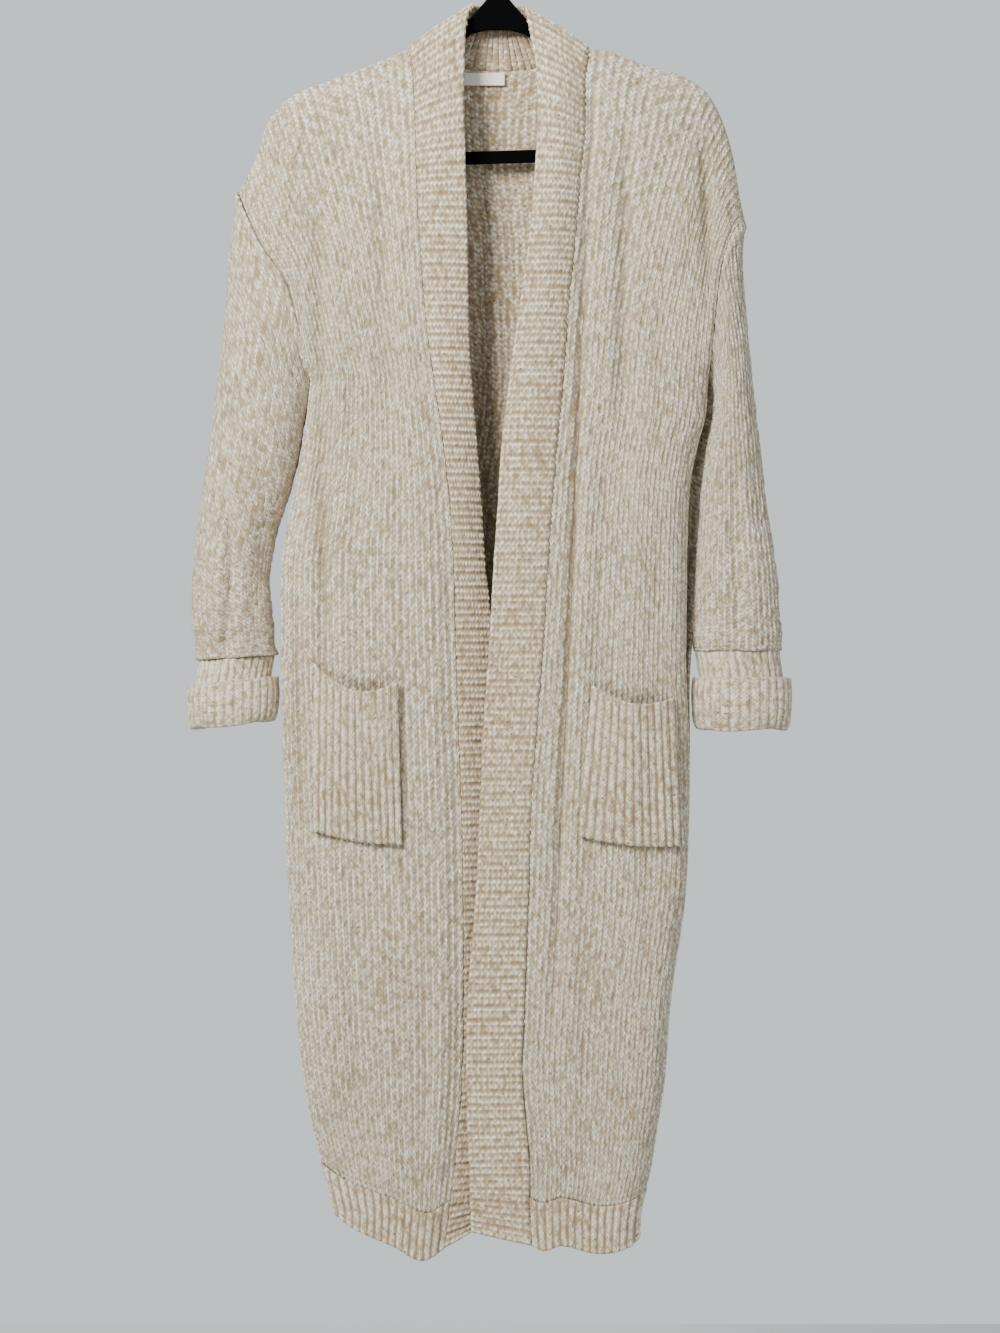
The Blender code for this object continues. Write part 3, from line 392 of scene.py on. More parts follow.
# %% The back, whose top edge runs over both shoulders and round the neck
def back_face(columns, arm_rows, low_rows, hem_rows):
    right = table_line(SHOULDER["right"])
    left = table_line(SHOULDER["left"])
    neck_in, neck_out = NECK_SHARES
    way = np.clip((columns - neck_in) / (neck_out - neck_in), 0, 1)
    round_in = np.sin(np.pi * way) ** 0.7
    neck_line = right[0] + (left[0] - right[0]) * way[:, None]
    neck_line[:, 1] += (NECK_SEAM_DROP - right[0, 1]) * round_in
    over_right = along(right[::-1], np.minimum(columns / neck_in, 1))
    over_left = along(left, np.clip((columns - neck_out) / (1 - neck_out), 0, 1))
    ridge = np.where((columns < neck_in)[:, None], over_right,
                     np.where((columns > neck_out)[:, None], over_left, neck_line))
    seam_share = (NECK_SEAM_DEPTH - HANGER_ROOM) * round_in / BACK_FULLNESS
    extra = SHOULDER_ROUNDING * np.log(1 - seam_share) ** 2
    turn = np.linspace(0, np.pi, arm_rows)[:, None]
    share = (1 - np.cos(turn)) / 2
    start, end = arm_line("right", share[:, 0]), arm_line("left", share[:, 0])
    u = columns[None, :]
    place = start[:, None, :] + (end - start)[:, None, :] * u[..., None]
    chord = ridge[0] + (ridge[-1] - ridge[0]) * columns[:, None]
    place = place + (ridge - chord)[None] * (1 - share)[..., None]
    to_side = np.minimum(u, 1 - u) * 2
    middle = shoulder_depth(BACK_FULLNESS, place[..., 1] - ridge[None, :, 1] + extra[None, :])
    side_depth = ARMHOLE_HALF_DEPTH * np.sin(turn)
    upper = side_depth + (middle - side_depth) * np.minimum(to_side * 2, 1)
    open_share = np.minimum(side_depth / np.maximum(middle, 1e-3), 1)
    lower = middle * (open_share + (1 - open_share) * side_rounding(1 - to_side))
    ease = np.clip((share - 0.35) / 0.3, 0, 1)
    depth = upper * (1 - ease) + lower * ease
    sink = fold_sink("back", place[..., 0], place[..., 1])
    depth -= sink * np.minimum(share * 4, 1) * side_rounding(1 - to_side)
    top = np.stack([place[..., 0], -depth, place[..., 1]], axis=-1)

    edges = [reader(SIDE_EDGE[side], "drop", "x") for side in SIDES]
    feet = [HEM_LINE[side]["drop"][-1] for side in SIDES]
    foot = blend(feet, u) + 6 * np.sin(np.pi * u)
    under = blend([SIDE_EDGE[side]["drop"][0] for side in SIDES], u)

    def low(drop):
        x = blend([edge(drop) for edge in edges], u)
        x = x + BACK_BULGE * bell(drop, 600, 140) * np.clip((u - 0.88) / 0.12, 0, 1)
        depth = shoulder_depth(BACK_FULLNESS, drop - BACK_TOP_DROP) * side_rounding(1 - to_side)
        depth = depth - fold_sink("back", x, drop) * side_rounding(1 - to_side)
        return np.stack([x, -depth, drop], axis=-1)

    way = np.linspace(0, 1, low_rows + 1)[1:, None]
    hem_way = np.linspace(0, 1, hem_rows)[:, None]
    return (np.concatenate([top, low(under + (foot - HEM_HEIGHT - under) * way)]),
            low(foot - HEM_HEIGHT + HEM_HEIGHT * hem_way))


# %% [markdown]
# ## From a surface to a knitted wall
# `create_grid` makes the sheet of quads, and the arrays move its points. Wales (the upright columns
# of stitches) and slubs (the yarn's thick spots) are raised outwards, then a Solidify modifier gives
# the wall behind. The UV map is in metres of cloth, so that the stitches in the material keep their
# size and line up with the raised wales.


# %% Building a wall from a grid of points
def face_normals(points, outward, closed=False):
    down = np.gradient(points, axis=0)
    if closed:
        across = (np.roll(points, -1, axis=1) - np.roll(points, 1, axis=1)) / 2
    else:
        across = np.gradient(points, axis=1)
    normal = np.cross(down, across)
    normal /= np.maximum(np.linalg.norm(normal, axis=2, keepdims=True), 1e-9)
    middle = normal[len(points) // 2, points.shape[1] // 2]
    return normal if middle @ np.array(outward) > 0 else -normal


def slubs(shape, coarse, seed):
    """Smooth random lumps between -1 and 1, for the yarn's thick and thin stretches."""
    rows, columns = (max(int(n / c), 2) for n, c in zip(shape, coarse))
    knots = np.random.default_rng(seed).uniform(-1, 1, (rows + 1, columns + 1))
    i, j = np.linspace(0, rows, shape[0]), np.linspace(0, columns, shape[1])
    i0, j0 = np.minimum(i.astype(int), rows - 1), np.minimum(j.astype(int), columns - 1)
    a, b = (i - i0)[:, None], (j - j0)[None, :]
    a, b = a * a * (3 - 2 * a), b * b * (3 - 2 * b)
    return (knots[i0][:, j0] * (1 - a) * (1 - b) + knots[i0 + 1][:, j0] * a * (1 - b)
            + knots[i0][:, j0 + 1] * (1 - a) * b + knots[i0 + 1][:, j0 + 1] * a * b)


def even_rows(points, rows):
    """The same sheet with its rows spread evenly down every column."""
    shares = np.linspace(0, 1, rows)
    return np.stack([along(points[:, k], shares) for k in range(points.shape[1])], axis=1)


def painted_groove_shade(relief, axis, window, span):
    """How far each point stands out from the mean around it: 0 deep in a groove, 1 on a ridge. The knit
    materials darken the colour by it, as painted shade in the grooves.
    """
    kernel = np.ones(window) / window

    def level(line):
        return np.convolve(np.pad(line, window // 2, mode="edge"), kernel, "valid")

    return np.clip(0.55 + (relief - np.apply_along_axis(level, axis, relief)) / span, 0, 1)


def knit_piece(name, points, relief, outward, wall, uv_size, finishes, closed=False,
               tone=None):
    """A cloth wall from points (x, depth, drop) in millimetres and the relief on its outer face. A
    wall of 0 leaves the surface as it is."""
    world_points = np.stack([points[..., 0], -points[..., 1], -points[..., 2]], axis=-1)
    normal = face_normals(world_points, outward, closed)
    world_points = (world_points + normal * relief[..., None]) * MM
    tone = np.ones(relief.shape) if tone is None else tone
    if closed:
        world_points = np.concatenate([world_points, world_points[:, :1]], axis=1)
        normal = np.concatenate([normal, normal[:, :1]], axis=1)
        tone = np.concatenate([tone, tone[:, :1]], axis=1)
    rows, columns = world_points.shape[:2]
    mesh = bmesh.new()
    uv_layer = mesh.loops.layers.uv.new("knit")
    # The tone goes on each point as the ridge attribute; the knit materials darken the colour by it, as
    # painted shade in grooves, folds and recesses.
    painted_shade_layer = mesh.verts.layers.float.new("ridge")
    bmesh.ops.create_grid(mesh, x_segments=columns - 1, y_segments=rows - 1, size=1, calc_uvs=False)
    mesh.verts.ensure_lookup_table()
    mesh.faces.ensure_lookup_table()
    u_axis = np.linspace(0, uv_size[0], columns)
    v_axis = np.linspace(uv_size[1], 0, rows)
    for vert, place, value in zip(mesh.verts, world_points.reshape(-1, 3), tone.reshape(-1)):
        vert.co = place
        vert[painted_shade_layer] = value
    for face in mesh.faces:
        for loop in face.loops:
            row, column = divmod(loop.vert.index, columns)
            loop[uv_layer].uv = (u_axis[column], v_axis[row])
    sample = mesh.faces[len(mesh.faces) // 2]
    sample.normal_update()
    row, column = divmod(sample.verts[0].index, columns)
    if sample.normal.dot(Vector(normal[row, column])) < 0:
        bmesh.ops.reverse_faces(mesh, faces=mesh.faces)
    if closed:
        bmesh.ops.remove_doubles(mesh, verts=mesh.verts, dist=1e-6)
    data = bpy.data.meshes.new(name)
    mesh.to_mesh(data)
    mesh.free()
    piece = put(name, data)
    for finish in finishes:
        data.materials.append(finish)
    data.shade_smooth()
    if wall:
        shell = piece.modifiers.new("wall", "SOLIDIFY")
        shell.thickness = wall * MM
        shell.offset = -1
        shell.material_offset = len(finishes) - 1
    print(name, "has", len(data.polygons), "faces outside")
    return piece


def cloth_area(points):
    """The area of a grid of points, in square metres."""
    down, across = np.diff(points, axis=0)[:, :-1], np.diff(points, axis=1)[:-1]
    return float(np.linalg.norm(np.cross(down, across), axis=2).sum() * MM * MM)


def wear(piece, node, slot, flat, area, *rests_on):
    """The piece rides on the one body and stands for its solid, which is hidden."""
    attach(piece, "root")
    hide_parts(node)


# %% [markdown]
# ## Yarn and stitches
# A knitted face is made of V-shaped stitches in upright wales; its wrong side shows rows of small
# arcs. Both are worked out from the UV map in one node group each, as a height from 0 in the holes
# to 1 on the yarn. The yarn itself is a slub: it swells and thins and its fibres are cream, white
# and tan, which a third group paints in small streaks. That group also paints the low places of the
# height dark brown, as painted shade in the holes and between the stitches.


# %% A helper for node groups
class Group:
    """Builds a shader node group from small maths steps."""

    def __init__(self, name, inputs, outputs):
        self.tree = bpy.data.node_groups.new(name, "ShaderNodeTree")
        for label, kind, value in inputs:
            socket = self.tree.interface.new_socket(name=label, in_out="INPUT", socket_type=kind)
            if value is not None:
                socket.default_value = value
        for label, kind in outputs:
            self.tree.interface.new_socket(name=label, in_out="OUTPUT", socket_type=kind)
        self.start = self.tree.nodes.new("NodeGroupInput")
        self.end = self.tree.nodes.new("NodeGroupOutput")

    def maths(self, operation, *values):
        return maths(self.tree, operation, *values)

    def give(self, label, socket):
        self.tree.links.new(socket, self.end.inputs[label])


def maths(tree, operation, *values):
    node = tree.nodes.new("ShaderNodeMath")
    node.operation = operation
    for k, value in enumerate(values):
        if isinstance(value, (int, float)):
            node.inputs[k].default_value = value
        else:
            tree.links.new(value, node.inputs[k])
    return node.outputs[0]


def split(tree, vector):
    node = tree.nodes.new("ShaderNodeSeparateXYZ")
    tree.links.new(vector, node.inputs[0])
    return node.outputs


# %% Face stitches, wrong-side stitches and slub yarn
def stitch_group(name):
    """A group with its maths and the UV map counted in wales across and in courses along."""
    g = Group(name, [("UV", "NodeSocketVector", None), ("Wale", "NodeSocketFloat", 0.0065),
                     ("Course", "NodeSocketFloat", 0.0058)], [("Height", "NodeSocketFloat")])
    x, y, _ = split(g.tree, g.start.outputs["UV"])
    wales = g.maths("DIVIDE", x, g.start.outputs["Wale"])
    return g, g.maths, wales, g.maths("DIVIDE", y, g.start.outputs["Course"])


def face_stitch_group():
    g, m, wales, courses = stitch_group("face stitches")
    off = m("ABSOLUTE", m("SUBTRACT", m("FRACT", wales), 0.5))
    rise = m("SUBTRACT", courses, m("MULTIPLY", off, 1.7))
    leg = m("POWER", m("ABSOLUTE", m("SINE", m("MULTIPLY", rise, math.pi))), 0.7)
    cross = m("SINE", m("MULTIPLY", off, 2 * math.pi))
    cross = m("POWER", m("MAXIMUM", cross, 0.0), 0.5)
    g.give("Height", m("MULTIPLY", leg, m("ADD", m("MULTIPLY", cross, 0.8), 0.2)))
    return g.tree


def purl_stitch_group():
    g, m, wales, courses = stitch_group("wrong side stitches")
    across = m("MULTIPLY", wales, 2 * math.pi)
    wave = m("MULTIPLY", m("SINE", across), 0.22)
    bar = m("POWER", m("ABSOLUTE", m("SINE", m("MULTIPLY", m("ADD", courses, wave), math.pi))), 0.8)
    gap = m("ADD", m("MULTIPLY", m("COSINE", across), 0.25), 0.75)
    g.give("Height", m("MULTIPLY", bar, gap))
    return g.tree


def slub_yarn_group():
    g = Group("slub yarn", [("UV", "NodeSocketVector", None), ("Height", "NodeSocketFloat", 1.0),
                            ("Warmth", "NodeSocketFloat", 0.0), ("Holes", "NodeSocketFloat", 0.05)],
              [("Color", "NodeSocketColor"), ("Bump", "NodeSocketFloat"),
               ("Roughness", "NodeSocketFloat")])
    tree, m = g.tree, g.maths

    def stretched(texture, across, upward):
        mapping = tree.nodes.new("ShaderNodeMapping")
        mapping.inputs["Scale"].default_value = (across, upward, 1.0)
        tree.links.new(g.start.outputs["UV"], mapping.inputs["Vector"])
        node = tree.nodes.new(texture)
        tree.links.new(mapping.outputs[0], node.inputs["Vector"])
        return node

    def noise(scale, stretch, detail):
        node = stretched("ShaderNodeTexNoise", 1.0, stretch)
        node.inputs["Scale"].default_value = scale
        node.inputs["Detail"].default_value = detail
        return node.outputs["Fac"]

    def cells(wide, high, randomness):
        node = stretched("ShaderNodeTexVoronoi", 1 / wide, 1 / high)
        node.voronoi_dimensions = "2D"
        node.inputs["Scale"].default_value = 1.0
        node.inputs["Randomness"].default_value = randomness
        return node

    puff = cells(0.0035, 0.0072, 0.85)
    grain = m("SUBTRACT", 1.0, m("MINIMUM", m("MULTIPLY", puff.outputs["Distance"], 1.35), 1.0))
    gap = cells(0.0065, 0.0058, 0.7)
    chance = m("LESS_THAN", split(tree, gap.outputs["Color"])[0], g.start.outputs["Holes"])
    pit_edge = m("MULTIPLY", m("SUBTRACT", 0.27, gap.outputs["Distance"]), 9.0)
    hole = m("MULTIPLY", m("MINIMUM", m("MAXIMUM", pit_edge, 0.0), 1.0), chance)
    lumpy = m("MULTIPLY", g.start.outputs["Height"], m("ADD", grain, 0.3))
    height = m("MULTIPLY", lumpy, m("SUBTRACT", 1.0, hole))
    fleck = noise(190, 0.45, 3)
    fibre = noise(900, 0.6, 2)
    cloud = noise(14, 0.5, 2)
    ramp = tree.nodes.new("ShaderNodeValToRGB")
    stops = ramp.color_ramp.elements
    stops[0].position, stops[0].color = 0.35, (0.42, 0.325, 0.19, 1)
    stops[1].position, stops[1].color = 0.62, (0.90, 0.85, 0.72, 1)
    stops.new(0.47).color = (0.76, 0.675, 0.505, 1)
    tone = m("ADD", m("MULTIPLY", fleck, 0.6), m("MULTIPLY", cloud, 0.2))
    tone = m("ADD", tone, m("MULTIPLY", split(tree, puff.outputs["Color"])[0], 0.2))
    tree.links.new(tone, ramp.inputs[0])
    # Painted shade: where the height is low, in holes, stitch gaps and grooves, the colour turns dark
    # brown.
    lit = m("MINIMUM", m("ADD", m("MULTIPLY", height, 1.8), -0.02), 1.0)
    colour = colour_mix(tree, (0.25, 0.18, 0.10, 1), ramp.outputs[0], lit)
    warmth = g.start.outputs["Warmth"]
    g.give("Color", colour_mix(tree, colour, (1.0, 0.93, 0.82, 1), warmth, "MULTIPLY"))
    fine = m("ADD", m("MULTIPLY", fleck, 0.4), m("MULTIPLY", fibre, 0.12))
    g.give("Bump", m("ADD", m("MULTIPLY", height, 1.1), fine))
    g.give("Roughness", m("ADD", m("MULTIPLY", fibre, 0.15), 0.8))
    return g.tree


FACE, PURL, YARN = face_stitch_group(), purl_stitch_group(), slub_yarn_group()


# %% A knitted finish: stitches, yarn, bump and a soft sheen
def knit_material(name, stitch, wale, course, warmth, bump_mm=1.5, holes=0.05):
    material, tree, shader = new_material(name)
    uv = tree.nodes.new("ShaderNodeUVMap")
    uv.uv_map = "knit"
    ridge = tree.nodes.new("ShaderNodeAttribute")
    ridge.attribute_name = "ridge"
    wobble = tree.nodes.new("ShaderNodeTexNoise")
    wobble.inputs["Scale"].default_value = 60
    tree.links.new(uv.outputs[0], wobble.inputs["Vector"])
    shift = tree.nodes.new("ShaderNodeVectorMath")
    shift.operation = "MULTIPLY_ADD"
    shift.inputs[1].default_value = (0.0022, 0.0022, 0)
    tree.links.new(wobble.outputs["Color"], shift.inputs[0])
    tree.links.new(uv.outputs[0], shift.inputs[2])
    stitches = tree.nodes.new("ShaderNodeGroup")
    stitches.node_tree = stitch
    stitches.inputs["Wale"].default_value = wale
    stitches.inputs["Course"].default_value = course
    tree.links.new(shift.outputs[0], stitches.inputs["UV"])
    yarn = tree.nodes.new("ShaderNodeGroup")
    yarn.node_tree = YARN
    yarn.inputs["Warmth"].default_value = warmth
    yarn.inputs["Holes"].default_value = holes
    tree.links.new(uv.outputs[0], yarn.inputs["UV"])
    # The ridge attribute scales the yarn's height, so the colour turns dark brown in grooves, folds and
    # recesses: painted shade.
    stand = maths(tree, "ADD", maths(tree, "MULTIPLY", stitches.outputs["Height"], 0.85), 0.22)
    tree.links.new(maths(tree, "MULTIPLY", ridge.outputs["Fac"], stand), yarn.inputs["Height"])
    bump = tree.nodes.new("ShaderNodeBump")
    bump.inputs["Strength"].default_value = 0.9
    bump.inputs["Distance"].default_value = bump_mm * MM
    tree.links.new(yarn.outputs["Bump"], bump.inputs["Height"])
    tree.links.new(bump.outputs[0], shader.inputs["Normal"])
    tree.links.new(yarn.outputs["Color"], shader.inputs["Base Color"])
    tree.links.new(yarn.outputs["Roughness"], shader.inputs["Roughness"])
    shader.inputs["Sheen Weight"].default_value = 0.25
    shader.inputs["Sheen Roughness"].default_value = 0.6
    shader.inputs["Specular IOR Level"].default_value = 0.2
    return material


WALE = 6.5
COURSE = 5.8
RIB = 8.2
plain_knit = knit_material("plain knit", FACE, WALE * MM, COURSE * MM, 0.0)
wrong_side = knit_material("wrong side", PURL, WALE * MM, COURSE * MM, 0.3, holes=0.25)
rib_knit = knit_material("rib knit", FACE, RIB / 2 * MM, 5.0 * MM, 0.4, 0.9, holes=0.03)
band_knit = knit_material("band rib", PURL, 5.6 * MM, 7.15 * MM, 0.55, 0.9, holes=0.04)

# %% [markdown]
# ## The two fronts and the back, with their hem ribs
# The wales are three or four points wide, so each one is a real ridge, and slubs make them uneven.
# The wrong side of the back shows in the open neck, so its wall carries a second finish inside.


# %% Wales and slubs on a panel
def wale_relief(rows, wales, per_wale, seed, high=0.42):
    columns = wales * per_wale + 1
    across = np.arange(columns) / per_wale
    ridge = -np.cos(2 * np.pi * across)[None, :] * high
    lumps = slubs((rows, columns), (2, per_wale * 0.6), seed) * 0.75
    long_lumps = slubs((rows, columns), (9, per_wale * 2), seed + 1) * 0.45
    return ridge + lumps + long_lumps


def hem_relief(rows, columns_per_rib, ribs, seed):
    columns = ribs * columns_per_rib + 1
    across = np.arange(columns) / columns_per_rib
    ridge = 0.2 + 1.7 * np.abs(np.sin(np.pi * across))[None, :] ** 0.8
    edge = np.linspace(0, 1, rows)[:, None]
    roll = 0.8 * bell(edge, 0.97, 0.04)
    return ridge * (1 - 0.25 * np.exp(-edge / 0.08)) + roll + slubs((rows, columns), (2, 3), seed) * 0.3


def seam_roll(side, columns, points):
    """The front's edge rolls up where the sleeve pulls on it, down to the underarm."""
    under = SIDE_EDGE[side]["drop"][0]
    edge = points[:, -1:, 2]
    above = np.clip((under - edge) / 60, 0, 1) * np.clip((edge - edge[0]) / 50, 0, 1)
    return SEAM_ROLL * bell(columns[None, :], 0.955, 0.022) * above


def sew_edges(points, relief, facing, sides):
    """The relief fades at a panel's seams, which lap a little under their neighbours. In sides, 1 is
    the first column and -1 the last."""
    rows, columns = relief.shape
    relief *= np.clip(np.arange(rows) / 6, 0.1, 1)[:, None]
    for side in sides:
        reach = np.arange(columns)[::side]
        relief *= np.clip(reach / 4, 0.1, 1)[None, :]
    points[0, :, 1] -= facing * SEAM_LAP
    points[:, [0 if side > 0 else -1 for side in sides], 1] -= facing * SEAM_LAP


def pocket_dent(side, points):
    """The front sinks a little behind the open mouth of its pocket."""
    pocket = POCKET[side]
    inner, outer = pocket["top"]
    share = (points[..., 0] - inner) / (outer - inner)
    bow = np.sin(np.pi * np.clip(share, 0, 1))
    mouth = pocket["top_drops"][0] + (pocket["top_drops"][1] - pocket["top_drops"][0]) * share
    mouth = mouth + pocket["sag"] * bow
    return POCKET_DENT * bow**0.7 * bell(points[..., 2] - mouth, 2, 9)


# %% The fronts
FRONT_WALES = 29
PER_WALE = 4
PANEL_ROWS = 390
HEM_RIBS = {"right": 16, "left": 15, "back": 42}
faces = {}
for number, side in enumerate(SIDES):
    columns = np.linspace(0, 1, FRONT_WALES * PER_WALE + 1)
    columns = 1 - (1 - columns) ** 1.12
    points, _ = front_face(side, columns, 110, 270, 2)
    points = even_rows(points, PANEL_ROWS)
    relief = wale_relief(len(points), FRONT_WALES, PER_WALE, 10 + number)
    tone = painted_groove_shade(relief, 1, 5, 1.7)
    relief += slubs(relief.shape, (60, 22), 14 + number) * 1.6
    # Painted shade: the fronts are darker along the fold troughs.
    tone *= 1 - 0.06 * np.clip(fold_sink("front_" + side, points[..., 0], points[..., 2]), 0, 6)
    relief += seam_roll(side, columns, points) - pocket_dent(side, points)
    faces["front_" + side] = points.copy()
    sew_edges(points, relief, 1, (-1,))
    high = float(points[-1, 0, 2] - points[0, 0, 2])
    piece = knit_piece("knit_front_" + side, points, relief, (0, -1, 0), PLAIN_WALL,
                       (FRONT_WALES * WALE * MM, high * MM), [plain_knit], tone=tone)
    wear(piece, "front_" + side, "knit", (0.27, 1.2), cloth_area(points))

    rib_columns = np.linspace(0, 1, HEM_RIBS[side] * 6 + 1)
    _, hem = front_face(side, rib_columns, 6, 6, 22)
    faces["hem_" + side] = hem
    relief = hem_relief(22, 6, HEM_RIBS[side], 20 + number)
    piece = knit_piece("rib_hem_" + side, hem, relief, (0, -1, 0), PLAIN_WALL,
                       (HEM_RIBS[side] * RIB * MM, HEM_HEIGHT * MM), [rib_knit],
                       tone=painted_groove_shade(relief, 1, 7, 2.0))
    wear(piece, "hem_" + side, "rib", (0.17, 0.05), cloth_area(hem))

# %% The back
BACK_WALES = 60
columns = np.linspace(0, 1, BACK_WALES * 3 + 1)
points, _ = back_face(columns, 90, 170, 2)
points = even_rows(points, 250)
faces["back"] = points.copy()
relief = wale_relief(len(points), BACK_WALES, 3, 30)
tone = painted_groove_shade(relief, 1, 5, 1.9)
sew_edges(points, relief, -1, (1, -1))
piece = knit_piece("knit_back", points, relief, (0, 1, 0), PLAIN_WALL,
                   (BACK_WALES * WALE * MM, 1.18), [plain_knit, wrong_side], tone=tone)
wear(piece, "back", "knit", (0.52, 1.2), cloth_area(points))
_, hem = back_face(np.linspace(0, 1, HEM_RIBS["back"] * 5 + 1), 6, 6, 18)
relief = hem_relief(18, 5, HEM_RIBS["back"], 31)
piece = knit_piece("rib_hem_back", hem, relief, (0, 1, 0), PLAIN_WALL,
                   (HEM_RIBS["back"] * RIB * MM, HEM_HEIGHT * MM), [rib_knit],
                   tone=painted_groove_shade(relief, 1, 5, 2.0))
wear(piece, "hem_back", "rib", (0.37, 0.05), cloth_area(hem))

# %% [markdown]
# ## The sleeves
# Each sleeve is a tube whose rings start along the dropped seam and turn level at the cuff. Its cloth
# is knitted from the top down, so wales run along it.

# %% Sleeve surfaces
SLEEVE = {
    "right": table(
        "outer_x outer_drop inner_x inner_drop half_depth",
        (-266, 270, -193, 461, 24), (-272, 338, -200, 497, 27), (-279, 410, -206, 536, 28),
        (-288, 490, -217, 580, 28), (-299, 570, -230, 618, 27), (-308, 645, -237, 661, 26),
        (-311, 700, -234, 706, 26), (-307, 748, -229, 743, 25)),
    "left": table(
        "outer_x outer_drop inner_x inner_drop half_depth",
        (253, 296, 216, 457, 24), (251, 344, 221, 477, 30), (256, 416, 219, 508, 31),
        (264, 493, 213, 539, 31), (273, 566, 208, 590, 30), (282, 632, 203, 646, 29),
        (289, 690, 201, 698, 28), (289, 738, 202, 739, 26)),
}


def sleeve_face(side, around, rings):
    rows = dict(SLEEVE[side])
    rows["way"] = np.linspace(0, 1, len(rows["outer_x"]))
    way = np.linspace(0, 1, rings)
    read = {name: reader(rows, "way", name)(way)[:, None] for name in rows if name != "way"}
    turn = (np.arange(around) / around * 2 * np.pi)[None, :]
    share = (1 - np.cos(turn)) / 2
    line = table_line(ARMHOLE[side])
    bulge = along(line, share[0]) - (line[0] + (line[-1] - line[0]) * share[0][:, None])
    fade = np.maximum(1 - way * 4, 0)[:, None]
    x = read["outer_x"] + (read["inner_x"] - read["outer_x"]) * share + bulge[None, :, 0] * fade
    drop = read["outer_drop"] + (read["inner_drop"] - read["outer_drop"]) * share
    drop = drop + bulge[None, :, 1] * fade
    depth = read["half_depth"] * np.sin(turn)
    depth = depth - np.where(np.sin(turn) > 0.05, fold_sink("sleeve_" + side, x, drop), 0)
    return np.stack([x, depth, drop], axis=-1)


SLEEVE_WALES = 38
SLEEVE_RINGS = 140
for number, side in enumerate(SIDES):
    points = sleeve_face(side, SLEEVE_WALES * PER_WALE, SLEEVE_RINGS)
    faces["sleeve_" + side] = points
    relief = wale_relief(SLEEVE_RINGS, SLEEVE_WALES, PER_WALE, 40 + number)[:, :-1]
    tone = painted_groove_shade(relief, 1, 5, 1.7)
    relief += slubs(relief.shape, (16, 40), 44 + number) * 1.2
    down_arm = np.linspace(0, 1, SLEEVE_RINGS)[:, None]
    seam_bump = bell(np.arange(SLEEVE_RINGS), 4, 2)[:, None]
    relief += seam_bump * (1.8 + slubs(relief.shape, (2, 4), 46 + number) * 0.6)
    points[0] += points[0] - points[1]
    relief[0] -= 2.5
    relief += slubs(relief.shape, (2, 3), 52 + number) * 0.8 * down_arm
    gather = np.clip((down_arm - 0.9) / 0.1, 0, 1)
    relief += gather * (1 - gather) * 7 + gather * slubs(relief.shape, (6, 8), 48 + number) * 0.8
    piece = knit_piece("knit_sleeve_" + side, points, relief, (0, -1, 0), PLAIN_WALL,
                       (SLEEVE_WALES * WALE * MM, 0.45), [plain_knit], closed=True, tone=tone)
    wear(piece, "sleeve_" + side, "knit", (0.26, 0.46), cloth_area(points))

# %% [markdown]
# ## The turned-back cuffs
# A cuff is one tube of rib that runs on from the sleeve, folds at the wrist and comes back up
# outside. Its cut is drawn once as a closed hairpin, rounded, and carried round the wrist. Ribs stand
# out where the cut shows them, and the turned edge is uneven as knitting is.

# %% Cuffs
CUFF = {
    "right": {"x": -272, "top": 770, "foot": 814, "half_width": 47, "slope": -0.11},
    "left": {"x": 250, "top": 767, "foot": 819, "half_width": 51, "slope": 0.0},
}
CUFF_HALF_DEPTH = 35.0
CUFF_CUT = table(
    "out way ribbed",
    (-11.5, 0.0, 0), (-8.3, 0.0, 1), (-8.1, 0.5, 1), (-8.1, 0.96, 1), (-6.6, 1.1, 0),
    (-6.0, 1.5, 0),
    (-6.0, 1.84, 0), (-5.0, 1.5, 0), (-4.6, 1.1, 0), (-4.0, 0.98, 0), (-2.2, 0.93, 0.6), (-0.4, 0.99, 1),
    (0.1, 1.1, 1), (0.6, 1.3, 1), (0.5, 1.5, 1), (0.0, 1.7, 1), (-1.2, 1.88, 1), (-4.0, 2.0, 0.8),
    (-7.6, 2.0, 0.6), (-10.4, 1.88, 0.2), (-11.5, 1.7, 0))
CUFF_RIBS = 30
CUFF_OVER_SLEEVE = 8.3
